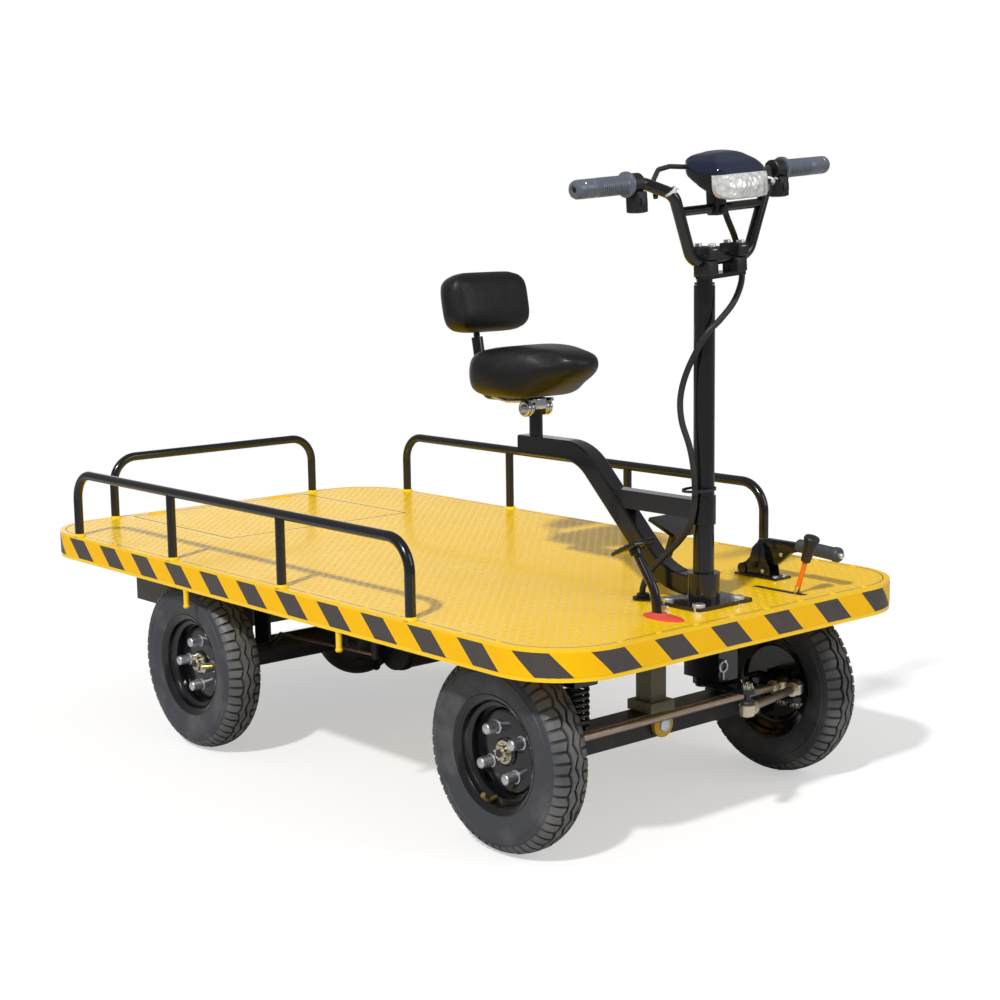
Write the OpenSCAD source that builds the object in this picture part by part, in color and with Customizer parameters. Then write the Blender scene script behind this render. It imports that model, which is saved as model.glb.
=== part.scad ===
// Electric platform truck: ride-on flat deck with hoop rails, bar steering, a saddle on a
// cantilever arm and a battery tray. +X is forward, +Y is the truck's left side, the floor is Z = 0.

/* [Deck] */
// Length of the deck over its rim
deck_l = 1860; // [1800:10:2200]
// Width of the deck over its rim
deck_w = 1000; // [980:10:1200]
// Height of the deck's top above the floor
deck_top = 435; // [430:5:480]
// Radius of the deck's corners in plan
deck_corner_r = 150; // [100:5:160]
// Thickness of the deck plate and its rim
plate_t = 4; // [3:0.5:6]
// Height of the skirt, measured down from the deck's top
skirt_h = 59; // [45:1:65]
// Thickness of the skirt
skirt_t = 4; // [3:0.5:6]
// Width of the flat rim on top of the skirt
rim_w = 13; // [11:0.5:16]

/* [Battery hatch] */
// Length of the hatch lid
hatch_l = 440; // [400:5:460]
// Width of the hatch lid
hatch_w = 512; // [460:2:560]
// Distance from the rear end of the deck to the hatch opening
hatch_inset = 35; // [32:1:45]
// Gap round the lid
hatch_gap = 3; // [2:0.5:4]

/* [Rails] */
// Diameter of the rail tube
rail_d = 21; // [18:0.5:25]
// Height of the rail's centre line above the deck
rail_h = 148; // [120:1:200]
// Bend radius of the rail's corners
rail_bend_r = 62; // [40:1:80]
// Distance of the side rails from the deck's edge
rail_inset = 11; // [11:0.5:16]
// Distance of the side rail's rear leg from the deck's rear end
rail_rear_inset = 189; // [170:1:230]
// Distance of the side rail's front leg from the deck's front end
rail_front_inset = 408; // [390:1:450]
// Distance of the rear rail's legs from the deck's sides
rear_rail_inset = 202; // [180:1:215]

/* [Wheels] */
// Radius of the tyres
tyre_r = 190; // [185:1:194]
// Width of the tyres
tyre_w = 88; // [80:1:92]
// Radius of the rim flange
rim_r = 115; // [112:1:118]
// Distance of the front axle from the deck's front end
front_inset = 270; // [260:1:290]
// Distance of the rear axle from the deck's rear end
rear_inset = 600; // [570:1:610]
// Distance of the front wheels' middle planes inside the deck's sides
front_wheel_inset = 124; // [115:1:128]
// Distance of the rear wheels' middle planes inside the deck's sides
rear_wheel_inset = 82; // [75:1:85]
// Diameter of the circle of wheel nuts
lug_pcd = 100; // [92:1:106]
// Radius of the stub axles
stub_r = 12.5; // [10:0.5:14]

/* [Front axle] */
// Side of the square axle beam
beam_s = 50; // [44:1:52]
// Distance of the beam's middle below the wheel centres
beam_drop = 15; // [12:1:18]
// Distance of the king pins inside the front wheels' middle planes
kingpin_inset = 70; // [68:1:76]
// Radius of the king pins
kingpin_r = 9; // [8:0.5:10]
// Length of the steering arms between king pin and link joint
steer_arm_l = 112; // [108:1:114]
// Distance of the track rod's joint from the king pin
track_arm_l = 77; // [74:1:78]
// Distance of the coil springs inside the king pins
spring_inset = 101; // [91:1:116]
// Outside diameter of the coil springs
spring_d = 56; // [48:1:62]

/* [Steering column] */
// Distance of the column from the deck's front end
column_inset = 130; // [125:1:135]
// Outside diameter of the column tube
column_d = 40; // [38:1:44]
// Height of the column tube above the deck
column_h = 601; // [560:1:680]
// Diameter of the steering shaft
shaft_d = 30; // [26:1:31]
// Diameter of the handlebar tube
bar_d = 22; // [20:0.5:23]
// Overall width of the handlebar over its grips
bar_w = 662; // [640:2:760]
// Rise of the grips above the clamped span
bar_rise = 148; // [130:1:170]
// Sideways set of the bar in its yoke, in degrees
bar_tilt = 4; // [0:0.5:5]

/* [Seat] */
// Side of the square arm tube
arm_s = 40; // [36:1:44]
// Height of the arm's upper run above the deck
arm_h = 262; // [240:1:300]
// Distance of the seat post behind the column
seat_reach = 472; // [455:1:490]
// Length of the saddle
saddle_l = 280; // [270:2:300]
// Width of the saddle
saddle_w = 226; // [210:2:240]
// Height of the saddle above its rails
saddle_h = 106; // [96:2:112]
// Width of the backrest
back_w = 212; // [190:2:230]
// Height of the backrest
back_h = 124; // [116:2:134]
// Thickness of the backrest
back_t = 70; // [60:2:80]

/* [Hidden] */
$fn = 48;
running = 0.08;
seat_gap = 0.3;
frame_h = 45;
frame_w = 40;
frame_side = 175;
frame_inset = 17;
deck_under = deck_top - plate_t;
frame_z = deck_under - frame_h;
skirt_z = deck_top - skirt_h;
deck_half_l = deck_l / 2;
deck_half_w = deck_w / 2;
frame_y = deck_half_w - frame_side;
front_x = deck_half_l - front_inset;
rear_x = -deck_half_l + rear_inset;
column_x = deck_half_l - column_inset;
seat_x = column_x - seat_reach;
hatch_x0 = -deck_half_l + hatch_inset;
hatch_x1 = hatch_x0 + hatch_l;
hinge_x = hatch_x0 + hatch_gap / 2;
hinge_y = 0.35 * hatch_w;
hinge_r = plate_t - 0.6;
hinge_pin_r = 1.5;
hinge_lid_l = 40;
hinge_leaf_l = 14;
hinge_end_gap = 0.6;

rail_r = rail_d / 2;
rail_y = deck_half_w - rail_inset;
rail_z = deck_top + rail_h;
rail_rear_x = -deck_half_l + rail_rear_inset;
rail_front_x = deck_half_l - rail_front_inset;
rear_rail_y = deck_half_w - rear_rail_inset;
rail_posts = [for (i = [1, 2]) rail_rear_x + i * (rail_front_x - rail_rear_x) / 3];
rear_rail_x = -deck_half_l + 17;
peg_r = 6;
peg_h = 40;
peg_places = [rear_x + 68, front_x - 360];

tray_x0 = -deck_half_l + 120;
tray_x1 = rear_x - 15;
tray_y = frame_y - frame_w / 2;
tray_z = deck_top - 188;
tray_t = 4;
bearer_w = 20;

wheel_z = tyre_r;
front_y = deck_half_w - front_wheel_inset;
rear_y = deck_half_w - rear_wheel_inset;
kingpin_y = front_y - kingpin_inset;
spring_y = kingpin_y - spring_inset;
beam_z = wheel_z - beam_drop;
eye_r = 22;
ear_t = 12;
ear_gap = 2;
web_t = 12;
web_y = eye_r + 5;
hub_in = -18;
hub_out = 8;
nut_gap = 1;
thread_r = 0.62 * stub_r;
knuckle_low = beam_z - beam_s / 2 - ear_gap - ear_t;
knuckle_high = beam_z + beam_s / 2 + ear_gap + ear_t;
steer_arm_z = wheel_z - 12;
steer_arm_t = 12;
joint_r = 14;
joint_h = 28;
joint_z = steer_arm_z + steer_arm_t + 4;
stud_r = 6;
rod_r = 8;

shaft_r = shaft_d / 2;
column_top = deck_top + column_h;
pitman_z = deck_top - 155;
pitman_t = 10;
base_t = 8;
collar_r = 31;
collar_top = deck_top + 60;
sleeve_r = column_d / 2 + 3;
sleeve_z = deck_top + 153;
sleeve_h = 54;
bracket_z = pitman_z + pitman_t + 5;
bracket_front = 64;
yoke_z = column_top + 16;
yoke_t = 8;
bar_x = column_x + 41;
bar_z = yoke_z + yoke_t + 26;
pod_room = 45;
riser_w = 26;
riser_l = 48;
riser_h = 50;
grip_r = 17;
grip_l = 120;
bar_in = bar_w / 2 - grip_l - pod_room;
bar_knee = 0.745 * bar_in;
bar_span = 0.4535 * bar_in;
riser_y = 0.513 * bar_span;
yoke_w = 2 * riser_y + riser_w - 6;
grip_x = column_x + 17;
grip_z = bar_z + bar_rise;
cross_z = bar_z + 92;
lamp_x = bar_x + 24;
lamp_z = cross_z + 16;
lamp_l = 124;
lamp_w = 134;
lamp_h = 88;

arm_z = deck_top + arm_h;
arm_low_z = deck_top + base_t + 1 + arm_s / 2 + 4;
arm_upper_r = 110;
arm_lower_r = 150;
post_top = arm_z + arm_s / 2 + 66;
arm_foot = 95;
saddle_x = seat_x + 22;
saddle_z = post_top + 14 + seat_gap;
back_tube_r = 7;
back_low = [seat_x - saddle_l / 2 - 22, 0, post_top + 6];
back_high = [back_low.x - 30, 0, saddle_z + saddle_h + 46];
back_lean = atan2(back_low.x - back_high.x, back_high.z - back_low.z);

brake_x = column_x + 30;
brake_y = -150;
boot_x = brake_x + 15;
boot_l = 84;
boot_w = 40;
rest_x = column_x - 210;
rest_y = 100;
hand_x = column_x - 100;
hand_y = 276;
selector_x = column_x + 53;
selector_y = 193;
slot_l = 136;
slot_x = selector_x - 31;
slot_w = 22;
gland_x = column_x - 106;
gland_y = -56;
cable_r = 6;

// Route of the control cable from the lamp down the column, off the column's foot, for that column height
cable_column_h = 601;
cable_offsets = [[33, 10, 787], [30, 12, 761], [24, 34, 725], [15, 66, 687], [12, 82, 650],
                 [24, 76, 611], [38, 40, 571], [38, 0, 537], [28, -26, 511], [-4, -38, 450],
                 [-21, -41, 398], [-19, -41, 352], [-4, -36, 305], [3, -33, 269], [6, -31, 225],
                 [4, -31, 185], [-8, -32, 149], [-36, -34, 115], [-76, -38, 79], [-98, -47, 51]];
cable_route = concat([for (p = cable_offsets) [column_x + p.x, p.y,
                                               deck_top + p.z * column_h / cable_column_h]],
                     [[gland_x, gland_y, deck_top + 23], [gland_x, gland_y, deck_top + 2]]);

// Direction from one point to another, length one
function unit(v) = v / norm(v);
// Angle by which a path turns at its middle point
function turn_angle(a, b, c) = acos(unit(b - a) * unit(c - b));
// Distance from a corner to where its bend starts
function bend_run(a, b, c, bend_r) = bend_r * tan(turn_angle(a, b, c) / 2);
// A direction square to d
function across(d) = unit(cross(abs(d.z) > 0.9 ? [1, 0, 0] : [0, 0, 1], d));

// Moves children so that their X, Y and Z axes lie along u, v and w from point o
module placed(o, u, v, w) {
    multmatrix([[u.x, v.x, w.x, o.x], [u.y, v.y, w.y, o.y], [u.z, v.z, w.z, o.z], [0, 0, 0, 1]])
        children();
}

// Round bar between two points
module rod(a, b, r) {
    w = unit(b - a);
    u = across(w);
    placed(a, u, cross(w, u), w) cylinder(h = norm(b - a), r = r);
}

// Quarter or part turn of a round bar at the corner b of the path a, b, c
module elbow(a, b, c, r, bend_r) {
    d = unit(b - a);
    n = unit(cross(d, unit(c - b)));
    inward = cross(n, d);
    start = b - d * bend_run(a, b, c, bend_r);
    placed(start + inward * bend_r, -inward, d, n)
        rotate_extrude(angle = turn_angle(a, b, c)) translate([bend_r, 0]) circle(r = r);
}

// Round bar along a path, bent at each inner point
module bent_bar(p, r, bend_r) {
    last = len(p) - 1;
    runs = [for (i = [0:last]) i == 0 || i == last ? 0 : bend_run(p[i - 1], p[i], p[i + 1], bend_r)];
    for (i = [0:last - 1]) {
        d = unit(p[i + 1] - p[i]);
        rod(p[i] + d * runs[i], p[i + 1] - d * runs[i + 1], r);
    }
    for (i = [1:last - 1]) elbow(p[i - 1], p[i], p[i + 1], r, bend_r);
}

// Points along the bend at the corner b of the path a, b, c
function bend_points(a, b, c, bend_r, n) =
    let (d = unit(b - a), turn = turn_angle(a, b, c), inward = cross(unit(cross(d, unit(c - b))), d),
         centre = b - d * bend_run(a, b, c, bend_r) + inward * bend_r)
    [for (k = [0:n]) centre + bend_r * (sin(turn * k / n) * d - cos(turn * k / n) * inward)];

// Path with each inner corner rounded in n steps
function rounded_path(p, bend_r, n) = concat([p[0]],
    [for (i = [1:len(p) - 2]) each bend_points(p[i - 1], p[i], p[i + 1], bend_r, n)], [p[len(p) - 1]]);

// Points of a round section and of a square one with round corners
function round_section(r, n) = [for (j = [0:n - 1]) r * [cos(j * 360 / n), sin(j * 360 / n)]];
function square_section(side, r) = [for (q = [0:3], k = [0:2])
    let (a = q * 90 + k * 45, c = q * 90 + 45)
        [(side / 2 - r) * sign(cos(c)) + r * cos(a), (side / 2 - r) * sign(sin(c)) + r * sin(a)]];

// Section swept along a path that never runs along the direction ref
module swept(p, section, ref) {
    last = len(p) - 1;
    sides = len(section);
    points = [for (k = [0:last])
        let (t = unit(unit(p[min(k + 1,
                                 last)] - p[k == last ? last - 1 : k]) +
                                 unit(p[k == 0 ? 1 : k] - p[max(k - 1, 0)])),
             u = unit(cross(ref, t)), v = cross(t, u))
            for (q = section) p[k] + q.x * u + q.y * v];
    walls = [for (k = [0:last - 1], j = [0:sides - 1]) let (m = (j + 1) % sides)
        [k * sides + j, (k + 1) * sides + j, (k + 1) * sides + m, k * sides + m]];
    ends = [[for (j = [0:sides - 1]) j], [for (j = [sides - 1:-1:0]) last * sides + j]];
    polyhedron(points, concat(walls, ends));
}

// Rectangle with round corners, centred
module rounded_plan(l, w, r) {
    square([l - 2 * r, w], center = true);
    square([l, w - 2 * r], center = true);
    for (sx = [-1, 1], sy = [-1, 1]) translate([sx * (l / 2 - r), sy * (w / 2 - r)]) circle(r = r);
}

// The deck's outline, moved inward by d
module deck_plan(d) {
    rounded_plan(deck_l - 2 * d, deck_w - 2 * d, deck_corner_r - d);
}

// Box given by its low and high corners
module box(lo, hi) {
    translate(lo) cube(hi - lo);
}

// Slot outline with round ends along X
module slot_plan(l, w) {
    square([l - w, w], center = true);
    for (s = [-1, 1]) translate([s * (l - w) / 2, 0]) circle(d = w);
}

// Round bar along Y on the hatch's hinge line, its middle at y
module hinge_bar(y, l, r) {
    translate([hinge_x, y, deck_top]) rotate([90, 0, 0]) cylinder(h = l, r = r, center = true);
}

// Room round a hinge barrel of length l
module hinge_room(y, l) {
    r = hinge_r + hinge_end_gap;
    translate([hinge_x - r, y - l / 2 - hinge_end_gap, deck_under - 1])
        cube([2 * r, l + 2 * hinge_end_gap, plate_t + 2]);
}

module deck_plate() {
    leaf_y = (hinge_lid_l + hinge_leaf_l) / 2 + hinge_end_gap;
    color("gold") {
        difference() {
            translate([0, 0, deck_under]) linear_extrude(plate_t) difference() {
                deck_plan(rim_w + seat_gap);
                translate([hatch_x0, -hatch_w / 2 - hatch_gap])
                    square([hatch_l + hatch_gap, hatch_w + 2 * hatch_gap]);
                translate([column_x, 0]) circle(r = shaft_r + 3);
                translate([boot_x, brake_y]) slot_plan(boot_l - 12, boot_w - 12);
                translate([slot_x, selector_y]) slot_plan(slot_l, slot_w);
                translate([gland_x, gland_y]) circle(r = cable_r + 2);
            }
            for (s = [-1, 1]) hinge_room(s * hinge_y, hinge_lid_l);
        }
        for (s = [-1, 1]) {
            hinge_bar(s * hinge_y, hinge_lid_l + 2 * hinge_leaf_l, hinge_pin_r);
            for (e = [-1, 1]) hinge_bar(s * hinge_y + e * leaf_y, hinge_leaf_l, hinge_r);
        }
    }
}

module deck_skirt() {
    color("orange") difference() {
        translate([0, 0, skirt_z]) linear_extrude(skirt_h) deck_plan(0);
        translate([0, 0, skirt_z - 1]) linear_extrude(skirt_h + 1 - plate_t) deck_plan(skirt_t);
        translate([0, 0, skirt_z]) linear_extrude(skirt_h + 1) deck_plan(rim_w);
    }
}

module hatch_lid() {
    leaf_y = (hinge_lid_l + hinge_leaf_l) / 2 + hinge_end_gap;
    color("gold") difference() {
        union() {
            box([hatch_x0 + hatch_gap, -hatch_w / 2, deck_under], [hatch_x1, hatch_w / 2, deck_top]);
            for (s = [-1, 1]) hinge_bar(s * hinge_y, hinge_lid_l, hinge_r);
        }
        for (s = [-1, 1]) {
            hinge_bar(s * hinge_y, 2 * hinge_lid_l, hinge_pin_r + running);
            for (e = [-1, 1]) hinge_room(s * hinge_y + e * leaf_y, hinge_leaf_l);
        }
    }
}

module frame_rails() {
    color("dimgray") for (s = [-1, 1])
        translate([0, s * frame_y, frame_z + frame_h / 2])
            cube([deck_l - 2 * frame_inset, frame_w, frame_h], center = true);
}

// Cross members between the two frame rails and hanger plates under the rails, ahead of the rear axle
module frame_cross() {
    rear = -deck_half_l + frame_inset + frame_w / 2;
    span = front_x - tray_x1;
    // The foremost member clears the column's bracket and the rod of the selector
    front = max(column_x + bracket_front + 4, selector_x + 20) + frame_w / 2;
    places = [rear, tray_x1 + frame_w / 2, tray_x1 + 0.43 * span, tray_x1 + 0.76 * span, front_x, front];
    hanger_x = rear_x + 52;
    color("dimgray") {
        for (x = places) translate([x, 0, frame_z + frame_h / 2])
            cube([frame_w, 2 * (frame_y - frame_w / 2), frame_h], center = true);
        for (s = [-1, 1]) translate([hanger_x + 28, s * (tray_y + 3), (frame_z + tray_z - 11) / 2])
            cube([56, 6, frame_z - tray_z + 11], center = true);
    }
}

module battery_tray() {
    bearer_x = hatch_x1;
    color("dimgray") {
        difference() {
            box([tray_x0, -tray_y, tray_z], [tray_x1, tray_y, deck_under]);
            box([tray_x0 + tray_t, -tray_y + tray_t, tray_z + tray_t],
                [tray_x1 - tray_t, tray_y - tray_t, deck_under + 1]);
        }
        box([bearer_x - bearer_w / 2, -tray_y + tray_t / 2, deck_under - bearer_w],
            [bearer_x + bearer_w / 2, tray_y - tray_t / 2, deck_under]);
    }
}

module battery_pack() {
    color("black") box([tray_x0 + tray_t + 6, -tray_y + tray_t + 6, tray_z + tray_t],
                       [hatch_x1 - bearer_w / 2 - 6, tray_y - tray_t - 6, deck_under - 22]);
}

module side_rail(side) {
    y = side * rail_y;
    color("black") {
        bent_bar([[rail_rear_x, y, deck_top], [rail_rear_x, y, rail_z], [rail_front_x, y, rail_z],
                  [rail_front_x, y, deck_top]], rail_r, rail_bend_r);
        for (x = rail_posts) rod([x, y, deck_top], [x, y, rail_z], rail_r - 0.5);
    }
}

module rail_right() { side_rail(-1); }

module rail_left() { side_rail(1); }

module rail_rear() {
    x = rear_rail_x;
    color("black") bent_bar([[x, -rear_rail_y, deck_top], [x, -rear_rail_y, rail_z],
                             [x, rear_rail_y, rail_z], [x, rear_rail_y, deck_top]], rail_r, rail_bend_r);
}

// Rope pegs that hang from the skirt's lower edge
module rope_pegs() {
    color("gold") for (side = [-1, 1], x = peg_places)
        translate([x, side * (deck_half_w - peg_r), skirt_z - peg_h]) cylinder(h = peg_h, r = peg_r);
}

module steering_column() {
    color("black") difference() {
        union() {
            translate([column_x, 0, deck_top + base_t / 2]) cube([116, 146, base_t], center = true);
            translate([column_x, 0, deck_top]) cylinder(h = collar_top - deck_top, r = collar_r);
            translate([column_x, 0, deck_top]) cylinder(h = column_h, d = column_d);
            translate([column_x, 0, sleeve_z]) cylinder(h = sleeve_h, r = sleeve_r);
        }
        translate([column_x, 0, deck_top - 1]) cylinder(h = column_h + 2, r = shaft_r + running);
    }
}

// Box under the deck that holds the column's lower bearing
module column_bracket() {
    color("black") difference() {
        box([column_x - 26, -26, bracket_z], [column_x + bracket_front, 26, deck_under]);
        box([column_x + 26, -20, bracket_z - 1], [column_x + bracket_front - 6, 20, deck_under - 20]);
        translate([column_x, 0, bracket_z - 1]) cylinder(h = deck_under, r = shaft_r + running);
    }
}

// Seat arm: level upper run, forty-five degree run and a level run into the collar
module seat_arm() {
    low_corner = [column_x - arm_foot, 0, arm_low_z];
    high_corner = [low_corner.x - (arm_z - arm_low_z), 0, arm_z];
    upper = bend_points([0, 0, arm_z], high_corner, low_corner, arm_upper_r, 8);
    lower = bend_points(high_corner, low_corner, [column_x, 0, arm_low_z], arm_lower_r, 8);
    path = concat([[seat_x - 36, 0, arm_z]], upper, lower, [[column_x - 10, 0, arm_low_z]]);
    color("black") difference() {
        swept(path, square_section(arm_s, 4), [0, 1, 0]);
        translate([column_x, 0, deck_top]) cylinder(h = arm_h, r = collar_r + running);
    }
}

// Flat bar from the arm's slope to the column's sleeve
module seat_brace() {
    brace_z = sleeve_z + sleeve_h / 2;
    slope_x = column_x - arm_foot - (brace_z - arm_low_z);
    color("black") difference() {
        box([slope_x, -15, brace_z - 18], [column_x, 15, brace_z + 18]);
        translate([column_x, 0, sleeve_z - 1]) cylinder(h = sleeve_h + 2, r = sleeve_r + running);
        translate([slope_x, 0, brace_z]) rotate([0, 45, 0])
            cube([200, arm_s + 2, arm_s + 2 * running], center = true);
    }
}

module seat_post() {
    color("black") translate([seat_x, 0, arm_z + arm_s / 2])
        cylinder(h = post_top - arm_z - arm_s / 2 - 6, r = 14);
}

// Cross clamp on the post, the block above it and the two rails that carry the saddle
module seat_clamp() {
    color("silver") difference() {
        union() {
            translate([seat_x, 0, post_top - 8]) rotate([90, 0, 0]) cylinder(h = 62, r = 15, center = true);
            for (s = [-1, 1]) translate([seat_x + 8, s * 24, post_top + 10])
                cube([190, 8, 8], center = true);
            translate([seat_x, 0, post_top + 6]) cube([40, 56, 16], center = true);
        }
        translate([seat_x, 0, post_top - 46]) cylinder(h = 40 + seat_gap, r = 14 + running);
    }
}

// Outline of the saddle from above: broad back, waist and round nose
module saddle_plan() {
    nose_w = 0.5 * saddle_w;
    translate([-0.24 * saddle_l, 0]) rounded_plan(0.52 * saddle_l, saddle_w, 0.24 * saddle_l);
    translate([0.21 * saddle_l, 0]) rounded_plan(0.58 * saddle_l, nose_w, 0.5 * nose_w - 0.1);
    polygon([[-0.1 * saddle_l, -saddle_w / 2], [0.3 * saddle_l, -nose_w / 2],
             [0.3 * saddle_l, nose_w / 2], [-0.1 * saddle_l, saddle_w / 2]]);
}

// Outline of the saddle from the side: crowned top, underside that rises to the nose
module saddle_side() {
    polygon([[-0.5 * saddle_l, 0.25 * saddle_h], [-0.47 * saddle_l, 0.08 * saddle_h],
             [-0.4 * saddle_l, 0], [0.04 * saddle_l, 0], [0.4 * saddle_l, 0.44 * saddle_h],
             [0.485 * saddle_l, 0.58 * saddle_h], [0.5 * saddle_l, 0.75 * saddle_h],
             [0.45 * saddle_l, 0.9 * saddle_h], [0.25 * saddle_l, 0.96 * saddle_h],
             [-0.1 * saddle_l, saddle_h], [-0.36 * saddle_l, 0.93 * saddle_h],
             [-0.47 * saddle_l, 0.74 * saddle_h]]);
}

// Outline of the saddle from behind: rounded shoulders
module saddle_end() {
    translate([0, saddle_h / 2]) rounded_plan(saddle_w, saddle_h, 0.42 * saddle_h);
}

module saddle() {
    color("black") translate([saddle_x, 0, saddle_z]) intersection() {
        linear_extrude(saddle_h) saddle_plan();
        rotate([90, 0, 0]) linear_extrude(saddle_w, center = true) saddle_side();
        rotate([90, 0, 90]) linear_extrude(saddle_l, center = true) saddle_end();
    }
}

module backrest_bracket() {
    path = rounded_path([[seat_x - 20, 0, back_low.z], back_low, back_high], 20, 6);
    color("black") swept(path, round_section(back_tube_r, 16), [0, 1, 0]);
}

// Pad with rounded outlines from the front, the side and above
module backrest() {
    round_r = 0.4 * back_t;
    color("black") translate(back_high) rotate([0, -back_lean, 0])
        translate([back_tube_r + seat_gap + back_t / 2, 0, 0.25 * back_h]) intersection() {
            rotate([90, 0, 90]) linear_extrude(back_t, center = true)
                rounded_plan(back_w, back_h, 0.36 * back_h);
            rotate([90, 0, 0]) linear_extrude(back_w, center = true) rounded_plan(back_t, back_h, round_r);
            linear_extrude(back_h, center = true) rounded_plan(back_t, back_w, round_r);
        }
}

module brake_pedal() {
    foot = [brake_x, brake_y, deck_under - 34];
    neck = [brake_x - 12, brake_y, deck_top + 48];
    head = [brake_x - 65, brake_y, deck_top + 122];
    color("black") {
        swept(rounded_path([foot, neck, head], 60, 6), round_section(9, 20), [0, 1, 0]);
        translate(head) rotate([0, -25, 0]) cube([64, 60, 8], center = true);
        hanger(brake_x, brake_y, 48);
    }
}

// Pin and two plates that hang a lever under the deck
module hanger(x, y, spread) {
    translate([x, y, deck_under - 30]) rotate([90, 0, 0]) cylinder(h = spread, r = 6, center = true);
    for (s = [-1, 1]) translate([x, y + s * (spread / 2 - 2), deck_under - 21])
        cube([20, 5, 42], center = true);
}

module pedal_boot() {
    color("tomato") translate([boot_x, brake_y, deck_top]) linear_extrude(5) difference() {
        slot_plan(boot_l, boot_w);
        translate([brake_x - 5 - boot_x, 0]) slot_plan(32, 24);
    }
}

module foot_rest() {
    foot = [rest_x, rest_y, deck_top];
    head = [rest_x + 44, rest_y, deck_top + 118];
    color("black") {
        rod(foot + [0, 0, 5], head, 9);
        translate(foot) cylinder(h = 5, r = 26);
        translate(head) rotate([0, 21, 0]) cube([74, 90, 8], center = true);
    }
}

// Hand brake: twin side plates on a foot, ratchet sector and a lever that points forward
module hand_brake() {
    grip_height = deck_top + 72;
    color("black") {
        box([hand_x - 50, hand_y - 24, deck_top], [hand_x + 62, hand_y + 24, deck_top + 5]);
        for (s = [-1, 1]) translate([hand_x, hand_y + s * 15, deck_top + 5]) rotate([90, 0, 0])
            linear_extrude(4, center = true) {
                translate([0, 30]) circle(r = 34);
                translate([-34, 0]) square([68, 22]);
            }
        translate([hand_x, hand_y, deck_top + 25]) rotate([90, 0, 0])
            cylinder(h = 44, r = 6, center = true);
        rod([hand_x, hand_y, deck_top + 25], [hand_x + 110, hand_y, grip_height], 8);
        rod([hand_x + 100, hand_y, grip_height], [hand_x + 204, hand_y, grip_height], 13);
        rod([hand_x + 200, hand_y, grip_height], [hand_x + 213, hand_y, grip_height], 6);
    }
}

module selector_lever() {
    foot = [selector_x, selector_y, deck_under - 34];
    head = [selector_x + 46, selector_y, deck_top + 102];
    lean = atan2(head.x - foot.x, head.z - foot.z);
    color("orangered") {
        rod(foot, head, 5);
        translate(head) rotate([0, lean, 0]) translate([0, 0, -38]) cylinder(h = 52, r1 = 9, r2 = 15);
        hanger(selector_x, selector_y, 40);
    }
}

module cable_gland() {
    color("black") translate([gland_x, gland_y, deck_top]) difference() {
        union() {
            cylinder(h = 4, r = 20);
            cylinder(h = 11, r = 12);
        }
        translate([0, 0, -1]) cylinder(h = 20, r = cable_r + 2 * seat_gap);
    }
}

// Smooth points along a route, n to each span
function smooth(p, n) = [for (i = [0:len(p) - 2], k = [0:n - 1])
    spline_point(p[max(i - 1, 0)], p[i], p[i + 1], p[min(i + 2, len(p) - 1)], k / n)];
function spline_point(a, b, c, d, t) = 0.5 * (2 * b + (c - a) * t + (2 * a - 5 * b + 4 * c - d) * t * t
    + (3 * b - a - 3 * c + d) * t * t * t);

module control_cable() {
    route = concat(smooth(cable_route, 2), [cable_route[len(cable_route) - 1]]);
    color("black") swept(route, round_section(cable_r, 10), [0, 1, 0]);
}

// Post from the frame, saddle over the beam and the pivot bolt through the beam with a boss on each face
module axle_post() {
    beam_top = beam_z + beam_s / 2;
    boss_x = beam_s / 2 + running;
    pin_r = 10;
    color("dimgray") {
        translate([front_x, 0, beam_top + 20]) linear_extrude(frame_z - beam_top - 20)
            square(42, center = true);
        translate([front_x, 0, beam_top + 10 + running]) cube([beam_s + 16, 66, 20], center = true);
        for (s = [-1, 1]) translate([front_x + s * (boss_x + 5), 0, beam_z]) rotate([0, 90, 0])
            cylinder(h = 10, r = 24, center = true);
        translate([front_x, 0, beam_z]) rotate([0, 90, 0])
            cylinder(h = beam_s + 30, r = pin_r, center = true);
    }
}

// Square beam with an upright eye at each end for the king pins
module front_beam() {
    color("black") difference() {
        union() {
            translate([front_x, 0, beam_z])
                cube([beam_s, 2 * (kingpin_y - eye_r + 6), beam_s], center = true);
            for (s = [-1, 1]) translate([front_x, s * kingpin_y, beam_z])
                cylinder(h = beam_s, r = eye_r, center = true);
            for (s = [-1, 1]) translate([front_x, s * spring_y, beam_z + beam_s / 2])
                cylinder(h = 14, r = spring_d / 2 - 12);
        }
        for (s = [-1, 1]) translate([front_x, s * kingpin_y, beam_z])
            cylinder(h = beam_s + 2, r = kingpin_r + running, center = true);
        translate([front_x, 0, beam_z]) rotate([0, 90, 0])
            cylinder(h = beam_s + 2, r = 10 + running, center = true);
    }
}

// Round wire wound between two heights
module coil(mid_r, wire_r, z0, z1, turns) {
    sides = 8;
    per_turn = 14;
    last = turns * per_turn;
    points = [for (k = [0:last]) let (a = k * 360 / per_turn,
                                      z = z0 + wire_r + (z1 - z0 - 2 * wire_r) * k / last)
        for (j = [0:sides - 1]) let (b = j * 360 / sides, q = mid_r + wire_r * cos(b))
            [q * cos(a), q * sin(a), z + wire_r * sin(b)]];
    walls = [for (k = [0:last - 1], j = [0:sides - 1]) let (m = (j + 1) % sides)
        [k * sides + j, k * sides + m, (k + 1) * sides + m, (k + 1) * sides + j]];
    ends = [[for (j = [sides - 1:-1:0]) j], [for (j = [0:sides - 1]) last * sides + j]];
    polyhedron(points, concat(walls, ends));
}

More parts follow.
